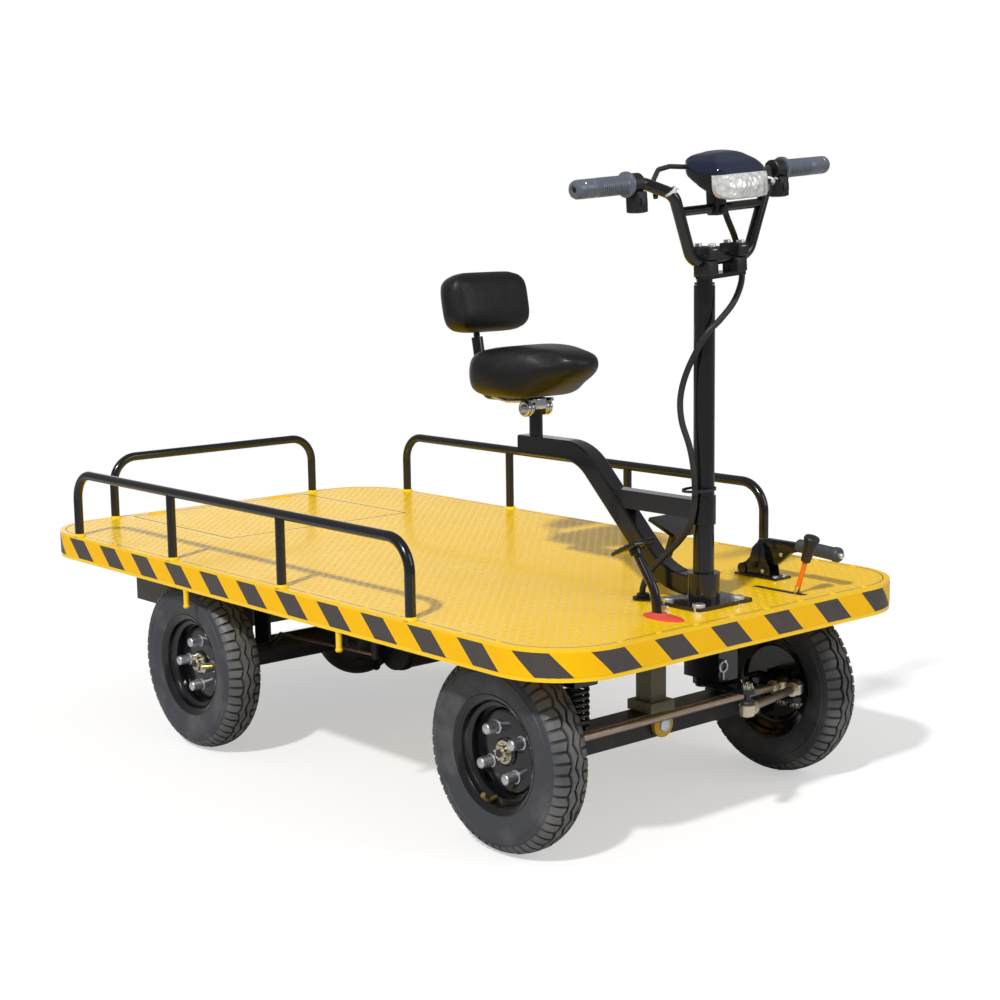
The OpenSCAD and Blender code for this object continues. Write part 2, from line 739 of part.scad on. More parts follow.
module front_springs() {
    wire_r = 4.5;
    spring_low = beam_z + beam_s / 2;
    spring_high = spring_low + 86;
    color("black") for (s = [-1, 1]) translate([front_x, s * spring_y, 0]) {
        coil(spring_d / 2 - wire_r, wire_r, spring_low, spring_high, 6);
        translate([0, 0, (spring_high + frame_z) / 2]) cube([64, 64, frame_z - spring_high], center = true);
    }
}

// Live rear axle: tube, round differential case, motor ahead of it and blocks up to the frame rails
module rear_axle() {
    tube_r = 32;
    case_r = 98;
    case_y = 10;
    motor_r = 62;
    motor_y = [20, 210];
    motor_z = wheel_z - 10;
    motor_ahead = 125;
    flange_y = rear_y + hub_in - 5;
    color("black") {
        translate([rear_x, 0, wheel_z]) rotate([90, 0, 0])
            cylinder(h = 2 * (flange_y - 8), r = tube_r, center = true);
        for (s = [-1, 1]) {
            translate([rear_x, s * (flange_y - 8), wheel_z]) rotate([90, 0, 0])
                cylinder(h = 16, r = 46, center = true);
            stub(rear_x, rear_y, s);
            box([rear_x - 35, s * frame_y - frame_w / 2, wheel_z],
                [rear_x + 35, s * frame_y + frame_w / 2, frame_z]);
        }
        difference() {
            translate([rear_x, case_y, wheel_z]) sphere(r = case_r);
            box([rear_x - 2 * case_r, case_y - case_r, tray_z - 5],
                [tray_x1 + 5, case_y + case_r, tray_z + case_r]);
        }
        translate([rear_x + motor_ahead, motor_y[1], motor_z]) rotate([90, 0, 0])
            cylinder(h = motor_y[1] - motor_y[0], r = motor_r);
        box([rear_x, motor_y[0] + 4, motor_z - 40], [rear_x + motor_ahead, motor_y[0] + 54, motor_z + 40]);
    }
}

// Stub axle with its nut, pointing out from the wheel's middle plane
module stub(x, y, s) {
    translate([x, s * y, wheel_z]) rotate([-90 * s, 0, 0]) {
        translate([0, 0, hub_in - 8]) cylinder(h = hub_out - hub_in + nut_gap + 9, r = stub_r);
        translate([0, 0, hub_out]) cylinder(h = 15, r = thread_r);
        translate([0, 0, hub_out + nut_gap]) cylinder(h = 9, r = 17, $fn = 6);
    }
}

module steering_shaft() {
    color("black") {
        translate([column_x, 0, pitman_z - 6]) cylinder(h = yoke_z - pitman_z + 6, r = shaft_r);
        translate([column_x, 0, column_top + 1]) cylinder(h = 4, r = shaft_r + 4);
        translate([column_x, 0, pitman_z]) linear_extrude(pitman_t) arm_plan(steer_arm_l, 20, 17);
        translate([column_x + steer_arm_l, 0, pitman_z - 44]) cylinder(h = 46, r = stud_r);
        translate([column_x + steer_arm_l, 0, pitman_z + pitman_t]) cylinder(h = 10, r = 10, $fn = 6);
        bar_set() translate([column_x, 0, yoke_z]) linear_extrude(yoke_t) yoke_plan();
    }
}

// Yoke outline: round on the shaft, as wide as the risers where they stand
module yoke_plan() {
    reach = bar_x - column_x;
    circle(r = shaft_r + 5);
    polygon([[0, -shaft_r - 5], [reach - riser_l / 2 + 6, -yoke_w / 2],
             [reach + riser_l / 2 - 6, -yoke_w / 2], [reach + riser_l / 2 - 6, yoke_w / 2],
             [reach - riser_l / 2 + 6, yoke_w / 2], [0, shaft_r + 5]]);
}

// Flat arm outline along X between two round ends
module arm_plan(l, r0, r1) {
    circle(r = r0);
    translate([l, 0]) circle(r = r1);
    polygon([[0, -r0], [l, -r1], [l, r1], [0, r0]]);
}

// Sets the bar and what it carries askew in the yoke
module bar_set() {
    translate([column_x, 0, yoke_z]) rotate([bar_tilt, 0, 0]) translate([-column_x, 0, -yoke_z]) children();
}

// Corners of one half of the handlebar, from the grip's end to the clamped span
function bar_ends(s) = [[grip_x, s * bar_w / 2, grip_z], [grip_x, s * bar_in, grip_z],
                        [bar_x + 10, s * bar_knee, cross_z + 32], [bar_x, s * bar_span, bar_z]];

module handlebar() {
    color("black") bar_set() {
        path = concat(bar_ends(-1), [for (i = [3:-1:0]) bar_ends(1)[i]]);
        swept(rounded_path(path, 30, 6), round_section(bar_d / 2, 20), [1, 0, 0]);
        rod([bar_x + 6, -0.86 * bar_knee, cross_z], [bar_x + 6, 0.86 * bar_knee, cross_z], 8.5);
    }
}

module bar_clamps() {
    color("black") bar_set() for (s = [-1, 1]) difference() {
        translate([bar_x, s * riser_y, yoke_z + yoke_t + riser_h / 2])
            cube([riser_l, riser_w, riser_h], center = true);
        translate([bar_x, s * riser_y, bar_z]) rotate([90, 0, 0])
            cylinder(h = riser_w + 2, r = bar_d / 2 + running, center = true);
    }
}

module grips() {
    color("silver") bar_set() for (s = [-1, 1]) difference() {
        union() {
            rod([grip_x, s * (bar_w / 2 - grip_l), grip_z], [grip_x, s * (bar_w / 2 + 3), grip_z], grip_r);
            rod([grip_x, s * (bar_w / 2 - grip_l - 8), grip_z], [grip_x, s * (bar_w / 2 - grip_l), grip_z],
                grip_r + 6);
        }
        rod([grip_x, s * (bar_w / 2 - grip_l - 20), grip_z], [grip_x, s * (bar_w / 2 + running), grip_z],
            bar_d / 2 + running);
    }
}

// Switch pod and brake lever housing under each grip's inner end
module bar_controls() {
    color("black") bar_set() for (s = [-1, 1]) {
        pod_y = s * (bar_w / 2 - grip_l - 22);
        difference() {
            union() {
                translate([grip_x, pod_y, grip_z]) rotate([90, 0, 0])
                    cylinder(h = 24, r = 19, center = true);
                translate([grip_x + 6, pod_y, grip_z - 32]) cube([34, 24, 40], center = true);
            }
            translate([grip_x, pod_y, grip_z]) rotate([90, 0, 0])
                cylinder(h = 26, r = bar_d / 2 + running, center = true);
        }
    }
}

// Outline of the lamp from the side: a wedge with its crest near the tail and its floor falling to the nose
module lamp_side() {
    side = [[0, 0.64], [0.05, 0.56], [0.62, 0.12], [0.74, 0.02], [0.9, 0], [0.98, 0.07], [1, 0.23],
            [0.97, 0.39], [0.89, 0.5], [0.71, 0.75], [0.5, 0.95], [0.31, 1], [0.1, 0.92], [0, 0.8]];
    polygon([for (p = side) [p.x * lamp_l, p.y * lamp_h]]);
}

// Outline of the lamp from above: narrow tail, broad round front
module lamp_plan() {
    polygon([[0, -0.32 * lamp_w], [0.15 * lamp_l, -0.44 * lamp_w], [0.5 * lamp_l, -0.5 * lamp_w],
             [0.76 * lamp_l, -0.48 * lamp_w], [0.92 * lamp_l, -0.39 * lamp_w],
             [lamp_l, -0.18 * lamp_w], [lamp_l, 0.18 * lamp_w], [0.92 * lamp_l, 0.39 * lamp_w],
             [0.76 * lamp_l, 0.48 * lamp_w], [0.5 * lamp_l, 0.5 * lamp_w],
             [0.15 * lamp_l, 0.44 * lamp_w], [0, 0.32 * lamp_w]]);
}

// Outline of the lamp from the front: flat floor, bellied sides and a domed roof
module lamp_end() {
    half = [[0.3, 0], [0.42, 0.05], [0.48, 0.2], [0.5, 0.4], [0.48, 0.6], [0.42, 0.78], [0.3, 0.92],
            [0.15, 0.985], [0, 1]];
    polygon(concat([for (p = half) [p.x * lamp_w, p.y * lamp_h]],
                   [for (i = [len(half) - 2:-1:0]) [-half[i].x * lamp_w, half[i].y * lamp_h]]));
}

// The lamp's whole form, its tail at the origin
module lamp_form() {
    intersection() {
        linear_extrude(lamp_h) lamp_plan();
        rotate([90, 0, 0]) linear_extrude(lamp_w, center = true) lamp_side();
        rotate([90, 0, 90]) linear_extrude(lamp_l) lamp_end();
    }
}

// Space in front of the shell that the lens fills
module lamp_front(gap) {
    rotate([90, 0, 0]) linear_extrude(2 * lamp_w, center = true)
        polygon([[0.7 * lamp_l - gap, -1], [2 * lamp_l, -1], [2 * lamp_l, 0.5 * lamp_h + gap],
                 [0.7 * lamp_l - gap, 0.5 * lamp_h + gap]]);
}

module headlamp() {
    color("midnightblue") bar_set() {
        translate([lamp_x - 0.5 * lamp_l, 0, lamp_z]) difference() {
            lamp_form();
            lamp_front(seat_gap);
        }
        translate([bar_x + 6, -12, cross_z]) difference() {
            translate([-13, -14, -13]) cube([26, 28, 75]);
            rotate([90, 0, 0]) cylinder(h = 60, r = 8.5 + running, center = true);
        }
    }
}

module headlamp_lens() {
    color("lightgray") bar_set() translate([lamp_x - 0.5 * lamp_l, 0, lamp_z]) intersection() {
        lamp_form();
        lamp_front(0);
    }
}

// Steering knuckle: fork ears, king pin, web, stub axle and the arm with its joint studs
module knuckle(s, joints) {
    color("black") translate([front_x, s * kingpin_y, 0]) scale([1, s, 1]) {
        for (z = [knuckle_low, knuckle_high - ear_t]) translate([0, 0, z]) linear_extrude(ear_t) {
            circle(r = eye_r);
            translate([-eye_r, 0]) square([2 * eye_r, web_y + web_t]);
        }
        translate([-eye_r, web_y, knuckle_low]) cube([2 * eye_r, web_t, knuckle_high - knuckle_low]);
        translate([0, 0, knuckle_low - 4]) cylinder(h = knuckle_high - knuckle_low + 8, r = kingpin_r);
        translate([0, web_y, wheel_z]) rotate([-90, 0, 0])
            cylinder(h = front_y - kingpin_y - web_y + hub_in - 5, r = 18);
        translate([0, 0, steer_arm_z]) linear_extrude(steer_arm_t) {
            polygon([[eye_r - 4, web_y], [track_arm_l, -joint_r],
                     [joints[len(joints) - 1], -joint_r], [joints[len(joints) - 1], joint_r],
                     [eye_r - 4, web_y + web_t]]);
            translate([joints[len(joints) - 1], 0]) circle(r = joint_r);
        }
        for (x = joints) {
            translate([x, 0, steer_arm_z - 12]) cylinder(h = 13, r = 10, $fn = 6);
            translate([x, 0, steer_arm_z]) cylinder(h = joint_z - steer_arm_z + joint_h, r = stud_r);
        }
    }
    color("black") stub(front_x, front_y, s);
}

module knuckle_right() { knuckle(-1, [track_arm_l]); }

module knuckle_left() { knuckle(1, [track_arm_l, steer_arm_l]); }

// Bar with a bored joint housing at each end
module link(a, b) {
    color("silver") difference() {
        union() {
            rod(a, b, rod_r);
            for (p = [a, b]) translate(p) cylinder(h = joint_h, r = joint_r, center = true);
        }
        for (p = [a, b]) translate(p) cylinder(h = 2 * joint_h, r = stud_r + running, center = true);
    }
}

module track_rod() {
    z = joint_z + joint_h / 2;
    link([front_x + track_arm_l, -kingpin_y, z], [front_x + track_arm_l, kingpin_y, z]);
}

module drag_link() {
    link([column_x + steer_arm_l, 0, pitman_z - 31],
         [front_x + steer_arm_l, kingpin_y, joint_z + joint_h / 2]);
}

// Puts a wheel, drawn with its axle on Z pointing out, on its axle
module on_axle(x, y, s) {
    translate([x, s * y, wheel_z]) rotate([-90 * s, 0, 0]) children();
}

// Steel rim: drop-centre barrel, stepped disc, hub and wheel nuts
module rim() {
    seat_r = rim_r - 10.5;
    color("black") difference() {
        union() {
            rotate_extrude() polygon([[rim_r, -37], [rim_r, -34], [seat_r, -32],
                                      [seat_r - 1.5, -18], [90, -12], [90, 12], [seat_r - 1.5, 18],
                                      [seat_r, 32], [rim_r, 34], [rim_r, 37], [seat_r - 3, 36],
                                      [seat_r - 5, 20], [86, 13], [86, -13], [seat_r - 5, -20],
                                      [seat_r - 3, -36]]);
            rotate_extrude() polygon([[88, -12], [88, -4], [80, 2], [26, 2], [26, -4], [76, -4], [84, -12]]);
            translate([0, 0, hub_in]) cylinder(h = hub_out - hub_in, r = 29);
            for (i = [0:3]) rotate([0, 0, 45 + 90 * i]) translate([lug_pcd / 2, 0, 1])
                cylinder(h = 29, r = 10, $fn = 6);
        }
        cylinder(h = 200, r = stub_r + running, center = true);
    }
}

// Tyre section turned about the axle
module tyre() {
    bead_r = rim_r - 10.5 + seat_gap;
    half = tyre_w / 2;
    wall_r = rim_r + seat_gap;
    upper = [[bead_r, 31], [wall_r, 33.5], [wall_r + 9, half - 3], [wall_r + 24, half],
             [tyre_r - 26, half - 2], [tyre_r - 14, half - 6], [tyre_r - 7, half - 13],
             [tyre_r, half - 30]];
    lower = [for (i = [len(upper) - 1:-1:0]) [upper[i].x, -upper[i].y]];
    color("dimgray") rotate_extrude() polygon(concat(upper, lower));
}

module rim_front_right() { on_axle(front_x, front_y, -1) rotate([0, 0, -14]) rim(); }

module rim_front_left() { on_axle(front_x, front_y, 1) rotate([0, 0, -14]) rim(); }

module rim_rear_right() { on_axle(rear_x, rear_y, -1) rotate([0, 0, 45]) rim(); }

module rim_rear_left() { on_axle(rear_x, rear_y, 1) rotate([0, 0, 45]) rim(); }

module tyre_front_right() { on_axle(front_x, front_y, -1) tyre(); }

module tyre_front_left() { on_axle(front_x, front_y, 1) tyre(); }

module tyre_rear_right() { on_axle(rear_x, rear_y, -1) tyre(); }

module tyre_rear_left() { on_axle(rear_x, rear_y, 1) tyre(); }

deck_plate();
deck_skirt();
hatch_lid();
frame_rails();
frame_cross();
battery_tray();
battery_pack();
rail_right();
rail_left();
rail_rear();
rope_pegs();
steering_column();
column_bracket();
seat_arm();
seat_brace();
seat_post();
seat_clamp();
saddle();
backrest();
backrest_bracket();
brake_pedal();
pedal_boot();
foot_rest();
hand_brake();
selector_lever();
cable_gland();
control_cable();
axle_post();
front_beam();
front_springs();
rear_axle();
steering_shaft();
handlebar();
bar_clamps();
grips();
bar_controls();
headlamp();
headlamp_lens();
knuckle_right();
knuckle_left();
track_rod();
drag_link();
rim_front_right();
rim_front_left();
rim_rear_right();
rim_rear_left();
tyre_front_right();
tyre_front_left();
tyre_rear_right();
tyre_rear_left();
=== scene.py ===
# %% [markdown]
# # Electric platform truck
# A ride-on truck with a yellow checker-plate deck, black hoop rails, bar steering and a saddle on an
# arm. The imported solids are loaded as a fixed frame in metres: +X is forward, +Y is the truck's left
# side and the floor is Z = 0. This lesson dresses that frame, one piece at a time.

# %% Load the frame
import math

import bpy
from mathutils import Matrix, Vector


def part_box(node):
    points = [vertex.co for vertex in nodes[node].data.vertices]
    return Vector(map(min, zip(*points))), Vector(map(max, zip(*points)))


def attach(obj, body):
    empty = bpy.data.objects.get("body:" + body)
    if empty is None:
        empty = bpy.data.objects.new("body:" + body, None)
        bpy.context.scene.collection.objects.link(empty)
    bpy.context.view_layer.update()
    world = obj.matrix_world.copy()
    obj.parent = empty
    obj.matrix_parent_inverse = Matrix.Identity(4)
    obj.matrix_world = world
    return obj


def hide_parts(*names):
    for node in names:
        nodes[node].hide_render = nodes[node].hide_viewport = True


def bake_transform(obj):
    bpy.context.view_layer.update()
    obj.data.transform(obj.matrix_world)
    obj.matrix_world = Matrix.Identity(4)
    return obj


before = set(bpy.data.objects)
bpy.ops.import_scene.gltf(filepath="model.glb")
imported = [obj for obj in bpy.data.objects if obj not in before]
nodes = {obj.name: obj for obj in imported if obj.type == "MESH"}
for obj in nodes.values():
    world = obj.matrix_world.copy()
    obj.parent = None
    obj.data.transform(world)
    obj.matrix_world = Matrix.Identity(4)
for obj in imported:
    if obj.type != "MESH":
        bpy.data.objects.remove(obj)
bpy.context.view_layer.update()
MM = 0.001

# %% [markdown]
# ## Camera
# The lens and place were worked out from the deck's straight edges and the wheels, so the render can
# be laid over the photograph. The view looks down a little, from the right front corner.

# %% Camera
LENS_MM = 66.65
YAW, PITCH, ROLL = (math.radians(a) for a in (49.331, 8.879, -0.808))
EYE = Vector((3165.1, -2538.6, 1177.1)) * MM


def camera_axes(yaw, pitch, roll):
    back = Vector((math.sin(yaw) * math.cos(pitch), -math.cos(yaw) * math.cos(pitch), math.sin(pitch)))
    right = (-back).cross(Vector((0, 0, 1))).normalized()
    up = right.cross(-back)
    c, s = math.cos(roll), math.sin(roll)
    return right * c + up * s, up * c - right * s, back


bpy.ops.object.select_all(action="DESELECT")
bpy.ops.object.camera_add(location=EYE)
camera = bpy.context.object
camera.name = "view_camera"
camera.data.lens = LENS_MM
camera.data.sensor_width = 36
camera.data.clip_end = 60
camera.matrix_world = Matrix.Translation(EYE) @ Matrix(camera_axes(YAW, PITCH, ROLL)).transposed().to_4x4()
bpy.context.scene.camera = camera
print("camera at", [round(v, 3) for v in EYE])

# %% [markdown]
# ## Shader expressions
# A material is a sum of small decisions: how light the paint is here, how rough it is there. Wiring
# them by hand hides that, so one class wraps a socket and lets Python's operators add Math nodes, and
# one method makes any other node from its type, settings and sockets.

# %% Wire and Finish
class Wire:
    """A socket that Python's operators work on."""

    def __init__(self, finish, socket):
        self.finish, self.socket = finish, socket

    def math(self, operation, *values):
        return self.finish.node("ShaderNodeMath", {"operation": operation}, dict(enumerate(values)))

    def __add__(self, other):
        return self.math("ADD", self, other)

    def __sub__(self, other):
        return self.math("SUBTRACT", self, other)

    def __rsub__(self, other):
        return self.math("SUBTRACT", other, self)

    def __mul__(self, other):
        return self.math("MULTIPLY", self, other)

    def __truediv__(self, other):
        return self.math("DIVIDE", self, other)

    def __mod__(self, other):
        return self.math("FLOORED_MODULO", self, other)

    def __lt__(self, other):
        return self.math("LESS_THAN", self, other)

    def __gt__(self, other):
        return self.math("GREATER_THAN", self, other)

    __radd__ = __add__
    __rmul__ = __mul__

    def clamp(self):
        return self.math("MINIMUM", self.math("MAXIMUM", self, 0.0), 1.0)


class Finish:
    """One material and the nodes that make it."""

    def __init__(self, name):
        self.material = bpy.data.materials.new(name)
        self.material.use_nodes = True
        self.tree = self.material.node_tree
        self.tree.nodes.clear()

    def node(self, kind, settings=None, sockets=None, out=0):
        made = self.tree.nodes.new(kind)
        for key, value in (settings or {}).items():
            setattr(made, key, value)
        for key, value in (sockets or {}).items():
            if isinstance(value, Wire):
                self.tree.links.new(value.socket, made.inputs[key])
            else:
                made.inputs[key].default_value = value
        return Wire(self, made.outputs[out])

    def place(self, scale=(1, 1, 1)):
        source = self.node("ShaderNodeTexCoord", out=3)
        return self.node("ShaderNodeMapping", None, {"Vector": source, "Scale": scale})

    def noise(self, scale, detail=3.0, where=None):
        sockets = {"Vector": where or self.place(), "Scale": scale, "Detail": detail, "Roughness": 0.55}
        return self.node("ShaderNodeTexNoise", None, sockets)

    def cells(self, scale, feature="DISTANCE_TO_EDGE"):
        sockets = {"Vector": self.place(), "Scale": scale}
        return self.node("ShaderNodeTexVoronoi", {"feature": feature}, sockets)

    def mix(self, factor, low, high):
        return self.node("ShaderNodeMix", {"data_type": "RGBA"}, {0: factor, 6: low, 7: high}, out=2)

    def bump(self, height, depth, normal=None):
        sockets = {"Height": height, "Distance": depth, "Strength": 1.0}
        if normal:
            sockets["Normal"] = normal
        return self.node("ShaderNodeBump", None, sockets)

    def shade(self, **sockets):
        names = {key.replace("_", " ").title().replace("Ior", "IOR"): value for key, value in sockets.items()}
        surface = self.node("ShaderNodeBsdfPrincipled", None, names)
        self.node_output(surface)
        return self.material

    def node_output(self, surface):
        end = self.tree.nodes.new("ShaderNodeOutputMaterial")
        self.tree.links.new(surface.socket, end.inputs["Surface"])


def tint(red, green, blue):
    """A colour written as on a screen, 0 to 255, as the linear colour that shaders use."""
    def linear(v):
        v /= 255
        return v / 12.92 if v <= 0.04045 else ((v + 0.055) / 1.055) ** 2.4
    return (linear(red), linear(green), linear(blue), 1.0)


print("shader tools ready")

# %% [markdown]
# ## Paints
# The deck and skirt are brushed with thick gloss yellow. Up close such paint has an orange-peel
# surface, is a little paler where it is thin and is dulled by dust, so colour, roughness and bump each
# come from their own noise. The tubes are gloss black, the under-frame is a duller black and the
# battery tray grey.

# %% Paints
def paint(name, colour, thin, roughness, spread, peel=0.00004, coat=0.0, dust=0.0):
    f = Finish(name)
    cloud = f.noise(7.0, 4.0)
    fine = f.noise(320.0, 2.0)
    base = f.mix((cloud - 0.35).clamp(), colour, thin)
    if dust:
        grime = ((f.noise(18.0, 6.0) - 0.5) * 3.0).clamp() * dust
        base = f.mix(grime, base, tint(150, 138, 118))
    return f.shade(base_color=base, roughness=(cloud * spread + roughness), coat_weight=coat,
                   coat_roughness=0.06, normal=f.bump(fine, peel))


deck_yellow = paint("deck_yellow", tint(255, 206, 0), tint(250, 194, 0), 0.22, 0.14, coat=0.2)
black_gloss = paint("black_gloss", tint(14, 14, 17), tint(21, 21, 25), 0.12, 0.14, coat=0.4)
black_satin = paint("black_satin", tint(22, 22, 23), tint(32, 31, 31), 0.34, 0.2, dust=0.12)
frame_grey = paint("frame_grey", tint(86, 82, 72), tint(104, 98, 84), 0.4, 0.2, dust=0.2)
post_olive = paint("post_olive", tint(114, 108, 82), tint(96, 92, 74), 0.36, 0.2, dust=0.15)
lever_orange = paint("lever_orange", tint(240, 112, 10), tint(226, 96, 6), 0.22, 0.12, coat=0.3)
bush_yellow = paint("bush_yellow", tint(226, 178, 30), tint(200, 150, 22), 0.3, 0.15)
print("paints made")

# %% [markdown]
# ## Metals
# Fasteners are zinc plated: bright, but clouded. The links are bare steel that has browned, and the
# clamp under the saddle is chromed. The metal is the same all over, and only its roughness and tone
# drift.

# %% Metals
def metal(name, colour, drift, roughness, spread, scratch=0.00002):
    f = Finish(name)
    cloud = f.noise(60.0, 4.0)
    lines = f.noise(120.0, 3.0, f.place((1, 1, 14)))
    return f.shade(base_color=f.mix(cloud, colour, drift), metallic=1.0,
                   roughness=(cloud * spread + roughness), normal=f.bump(lines, scratch))


zinc = metal("zinc", tint(236, 238, 242), tint(214, 218, 224), 0.3, 0.2)
chrome = metal("chrome", tint(226, 227, 230), tint(206, 208, 212), 0.06, 0.1, 0.000005)
brown_steel = metal("brown_steel", tint(204, 188, 174), tint(164, 142, 126), 0.26, 0.2)
gold_zinc = metal("gold_zinc", tint(236, 229, 206), tint(212, 201, 170), 0.24, 0.2)
brass = metal("brass", tint(222, 194, 116), tint(190, 160, 84), 0.24, 0.2)
print("metals made")

# %% [markdown]
# ## Rubber, vinyl and plastic
# Tyre rubber is a dark grey with dust on its tread. The saddle is grained vinyl: small cells with
# sunk edges, over slow waves where the cover is pulled. Grips are dark grey rubber in clear film, painted a
# silver-grey for the film's sheen, and the housings under them are moulded plastic with a fine spark texture.

# %% Soft finishes
def rubber(name, colour, worn, grain, roughness=0.6, dust=0.25, coat=0.0):
    f = Finish(name)
    speck = f.noise(grain, 4.0)
    smear = ((f.noise(11.0, 5.0) - 0.48) * 2.5).clamp() * dust
    base = f.mix(speck, colour, worn)
    return f.shade(base_color=f.mix(smear, base, tint(112, 106, 98)), roughness=(speck * 0.2 + roughness),
                   coat_weight=coat, coat_roughness=0.12, normal=f.bump(speck, 0.0002))


def tread_rubber(name):
    """Tyre rubber, dusty where the mesh's tread_top attribute says that it touches the road."""
    f = Finish(name)
    speck = f.noise(260.0, 4.0)
    smear = f.noise(11.0, 5.0)
    top = f.node("ShaderNodeAttribute", {"attribute_name": "tread_top"}, out=2)
    dusty = (top * 0.26 + (smear - 0.48) * 1.1).clamp()
    base = f.mix(speck, tint(50, 52, 58), tint(64, 65, 69))
    return f.shade(base_color=f.mix(dusty, base, tint(140, 137, 131)), roughness=(speck * 0.2 + 0.4),
                   normal=f.bump(speck, 0.0002))


def vinyl(name):
    f = Finish(name)
    grain = f.cells(620.0)
    wave = f.noise(9.0, 2.0)
    pull = f.noise(26.0, 3.0, f.place((0.35, 1, 1)))
    lumps = f.bump(wave * 0.6 + pull * 0.4, 0.004)
    return f.shade(base_color=f.mix(pull, tint(7, 7, 9), tint(13, 13, 16)), roughness=(wave * 0.2 + 0.32),
                   specular_ior_level=0.4, coat_weight=0.08, coat_roughness=0.15,
                   normal=f.bump((grain * 14.0).clamp(), 0.00012, lumps))


def plastic(name, colour, drift, roughness, spark=900.0, coat=0.0):
    f = Finish(name)
    fine = f.noise(spark, 2.0)
    slow = f.noise(24.0, 3.0)
    return f.shade(base_color=f.mix(slow, colour, drift), roughness=(slow * 0.15 + roughness),
                   coat_weight=coat, coat_roughness=0.04, normal=f.bump(fine, 0.00004))


tyre_rubber = tread_rubber("tyre_rubber")
cable_rubber = rubber("cable_rubber", tint(24, 24, 26), tint(36, 36, 38), 400.0, 0.42, 0.12)
boot_rubber = rubber("boot_rubber", tint(224, 84, 68), tint(206, 66, 54), 200.0, 0.5, 0.06)
# Grip colour: dark grey rubber lifted to a pale blue-grey, a painted sheen of its clear film wrap.
grip_rubber = rubber("grip_rubber", tint(104, 110, 122), tint(78, 84, 96), 180.0, 0.2, 0.0, 0.35)
lever_rubber = rubber("lever_rubber", tint(52, 53, 57), tint(68, 69, 73), 240.0, 0.4, 0.05)
seat_vinyl = vinyl("seat_vinyl")
moulded_black = plastic("moulded_black", tint(20, 20, 22), tint(28, 28, 30), 0.36)
shell_blue = plastic("shell_blue", tint(12, 18, 44), tint(18, 26, 60), 0.06, 200.0, 0.5)
tie_white = plastic("tie_white", tint(226, 228, 230), tint(210, 212, 215), 0.3)
battery_black = plastic("battery_black", tint(26, 26, 28), tint(36, 36, 38), 0.42)
print("soft finishes made")

# %% [markdown]
# ## Finish of each solid
# The solids whose shape is right stay, and only take a finish.

# %% Dress the solids
SOLID_FINISH = {
    "deck_plate": deck_yellow, "deck_skirt": deck_yellow, "hatch_lid": deck_yellow, "rope_pegs": deck_yellow,
    "frame_rails": black_satin, "frame_cross": black_satin, "front_beam": black_satin,
    "rear_axle": black_satin, "front_springs": black_satin, "battery_tray": frame_grey,
    "battery_pack": battery_black, "axle_post": post_olive, "seat_clamp": chrome, "headlamp_lens": chrome,
    "track_rod": brown_steel, "drag_link": brown_steel, "pedal_boot": boot_rubber,
    "selector_lever": lever_orange, "control_cable": cable_rubber, "cable_gland": cable_rubber,
    "grips": grip_rubber, "bar_controls": moulded_black, "headlamp": shell_blue, "saddle": seat_vinyl,
    "backrest": seat_vinyl,
}
for name, solid in nodes.items():
    finish = tyre_rubber if name.startswith("tyre") else SOLID_FINISH.get(name, black_gloss)
    solid.data.materials.clear()
    solid.data.materials.append(finish)
print("finishes on", len(nodes), "solids")

# %% [markdown]
# ## Modelling tools
# Each new piece starts from a primitive and is shaped in edit mode or by applied modifiers. These few
# helpers keep that short: one picks parts of a mesh by place, one turns an outline about an axis, one
# runs a round bar along a line, and `done` cleans a piece and hands it to the frame.

# %% Modelling tools
def fresh():
    bpy.ops.object.select_all(action="DESELECT")


def solo(piece):
    fresh()
    piece.select_set(True)
    bpy.context.view_layer.objects.active = piece
    return piece


def modify(piece, kind, **settings):
    solo(piece)
    step = piece.modifiers.new(kind.title(), kind)
    for key, value in settings.items():
        setattr(step, key, value)
    bpy.ops.object.modifier_apply(modifier=step.name)
    return piece


def editing(piece, what="VERT", choose=None):
    """Edit mode with all parts of one kind selected, or those that choose(part) accepts."""
    solo(piece)
    mesh = piece.data
    parts = {"VERT": mesh.vertices, "EDGE": mesh.edges, "FACE": mesh.polygons}[what]
    bpy.ops.object.mode_set(mode="EDIT")
    bpy.ops.mesh.select_mode(type=what)
    bpy.ops.mesh.select_all(action="DESELECT" if choose else "SELECT")
    if choose:
        bpy.ops.object.mode_set(mode="OBJECT")
        for part in parts:
            part.select = bool(choose(part))
        bpy.ops.object.mode_set(mode="EDIT")


def leave():
    bpy.ops.object.mode_set(mode="OBJECT")


def settle(piece):
    """Moves the object's place into its mesh."""
    solo(piece)
    bpy.ops.object.transform_apply(location=True, rotation=True, scale=True)
    return piece


def join(pieces):
    fresh()
    for piece in pieces:
        piece.select_set(True)
    bpy.context.view_layer.objects.active = pieces[0]
    bpy.ops.object.join()
    return bpy.context.object


def copy_of(piece):
    solo(piece)
    bpy.ops.object.duplicate()
    return bpy.context.object


def block(low, high, round_by=0.0, segments=2):
    """Box between two corners in millimetres, its edges rounded."""
    fresh()
    middle = [(a + b) / 2 * MM for a, b in zip(low, high)]
    bpy.ops.mesh.primitive_cube_add(size=1, location=middle)
    piece = bpy.context.object
    piece.scale = [(b - a) * MM for a, b in zip(low, high)]
    settle(piece)
    if round_by:
        modify(piece, "BEVEL", width=round_by * MM, segments=segments, limit_method="ANGLE")
    return piece


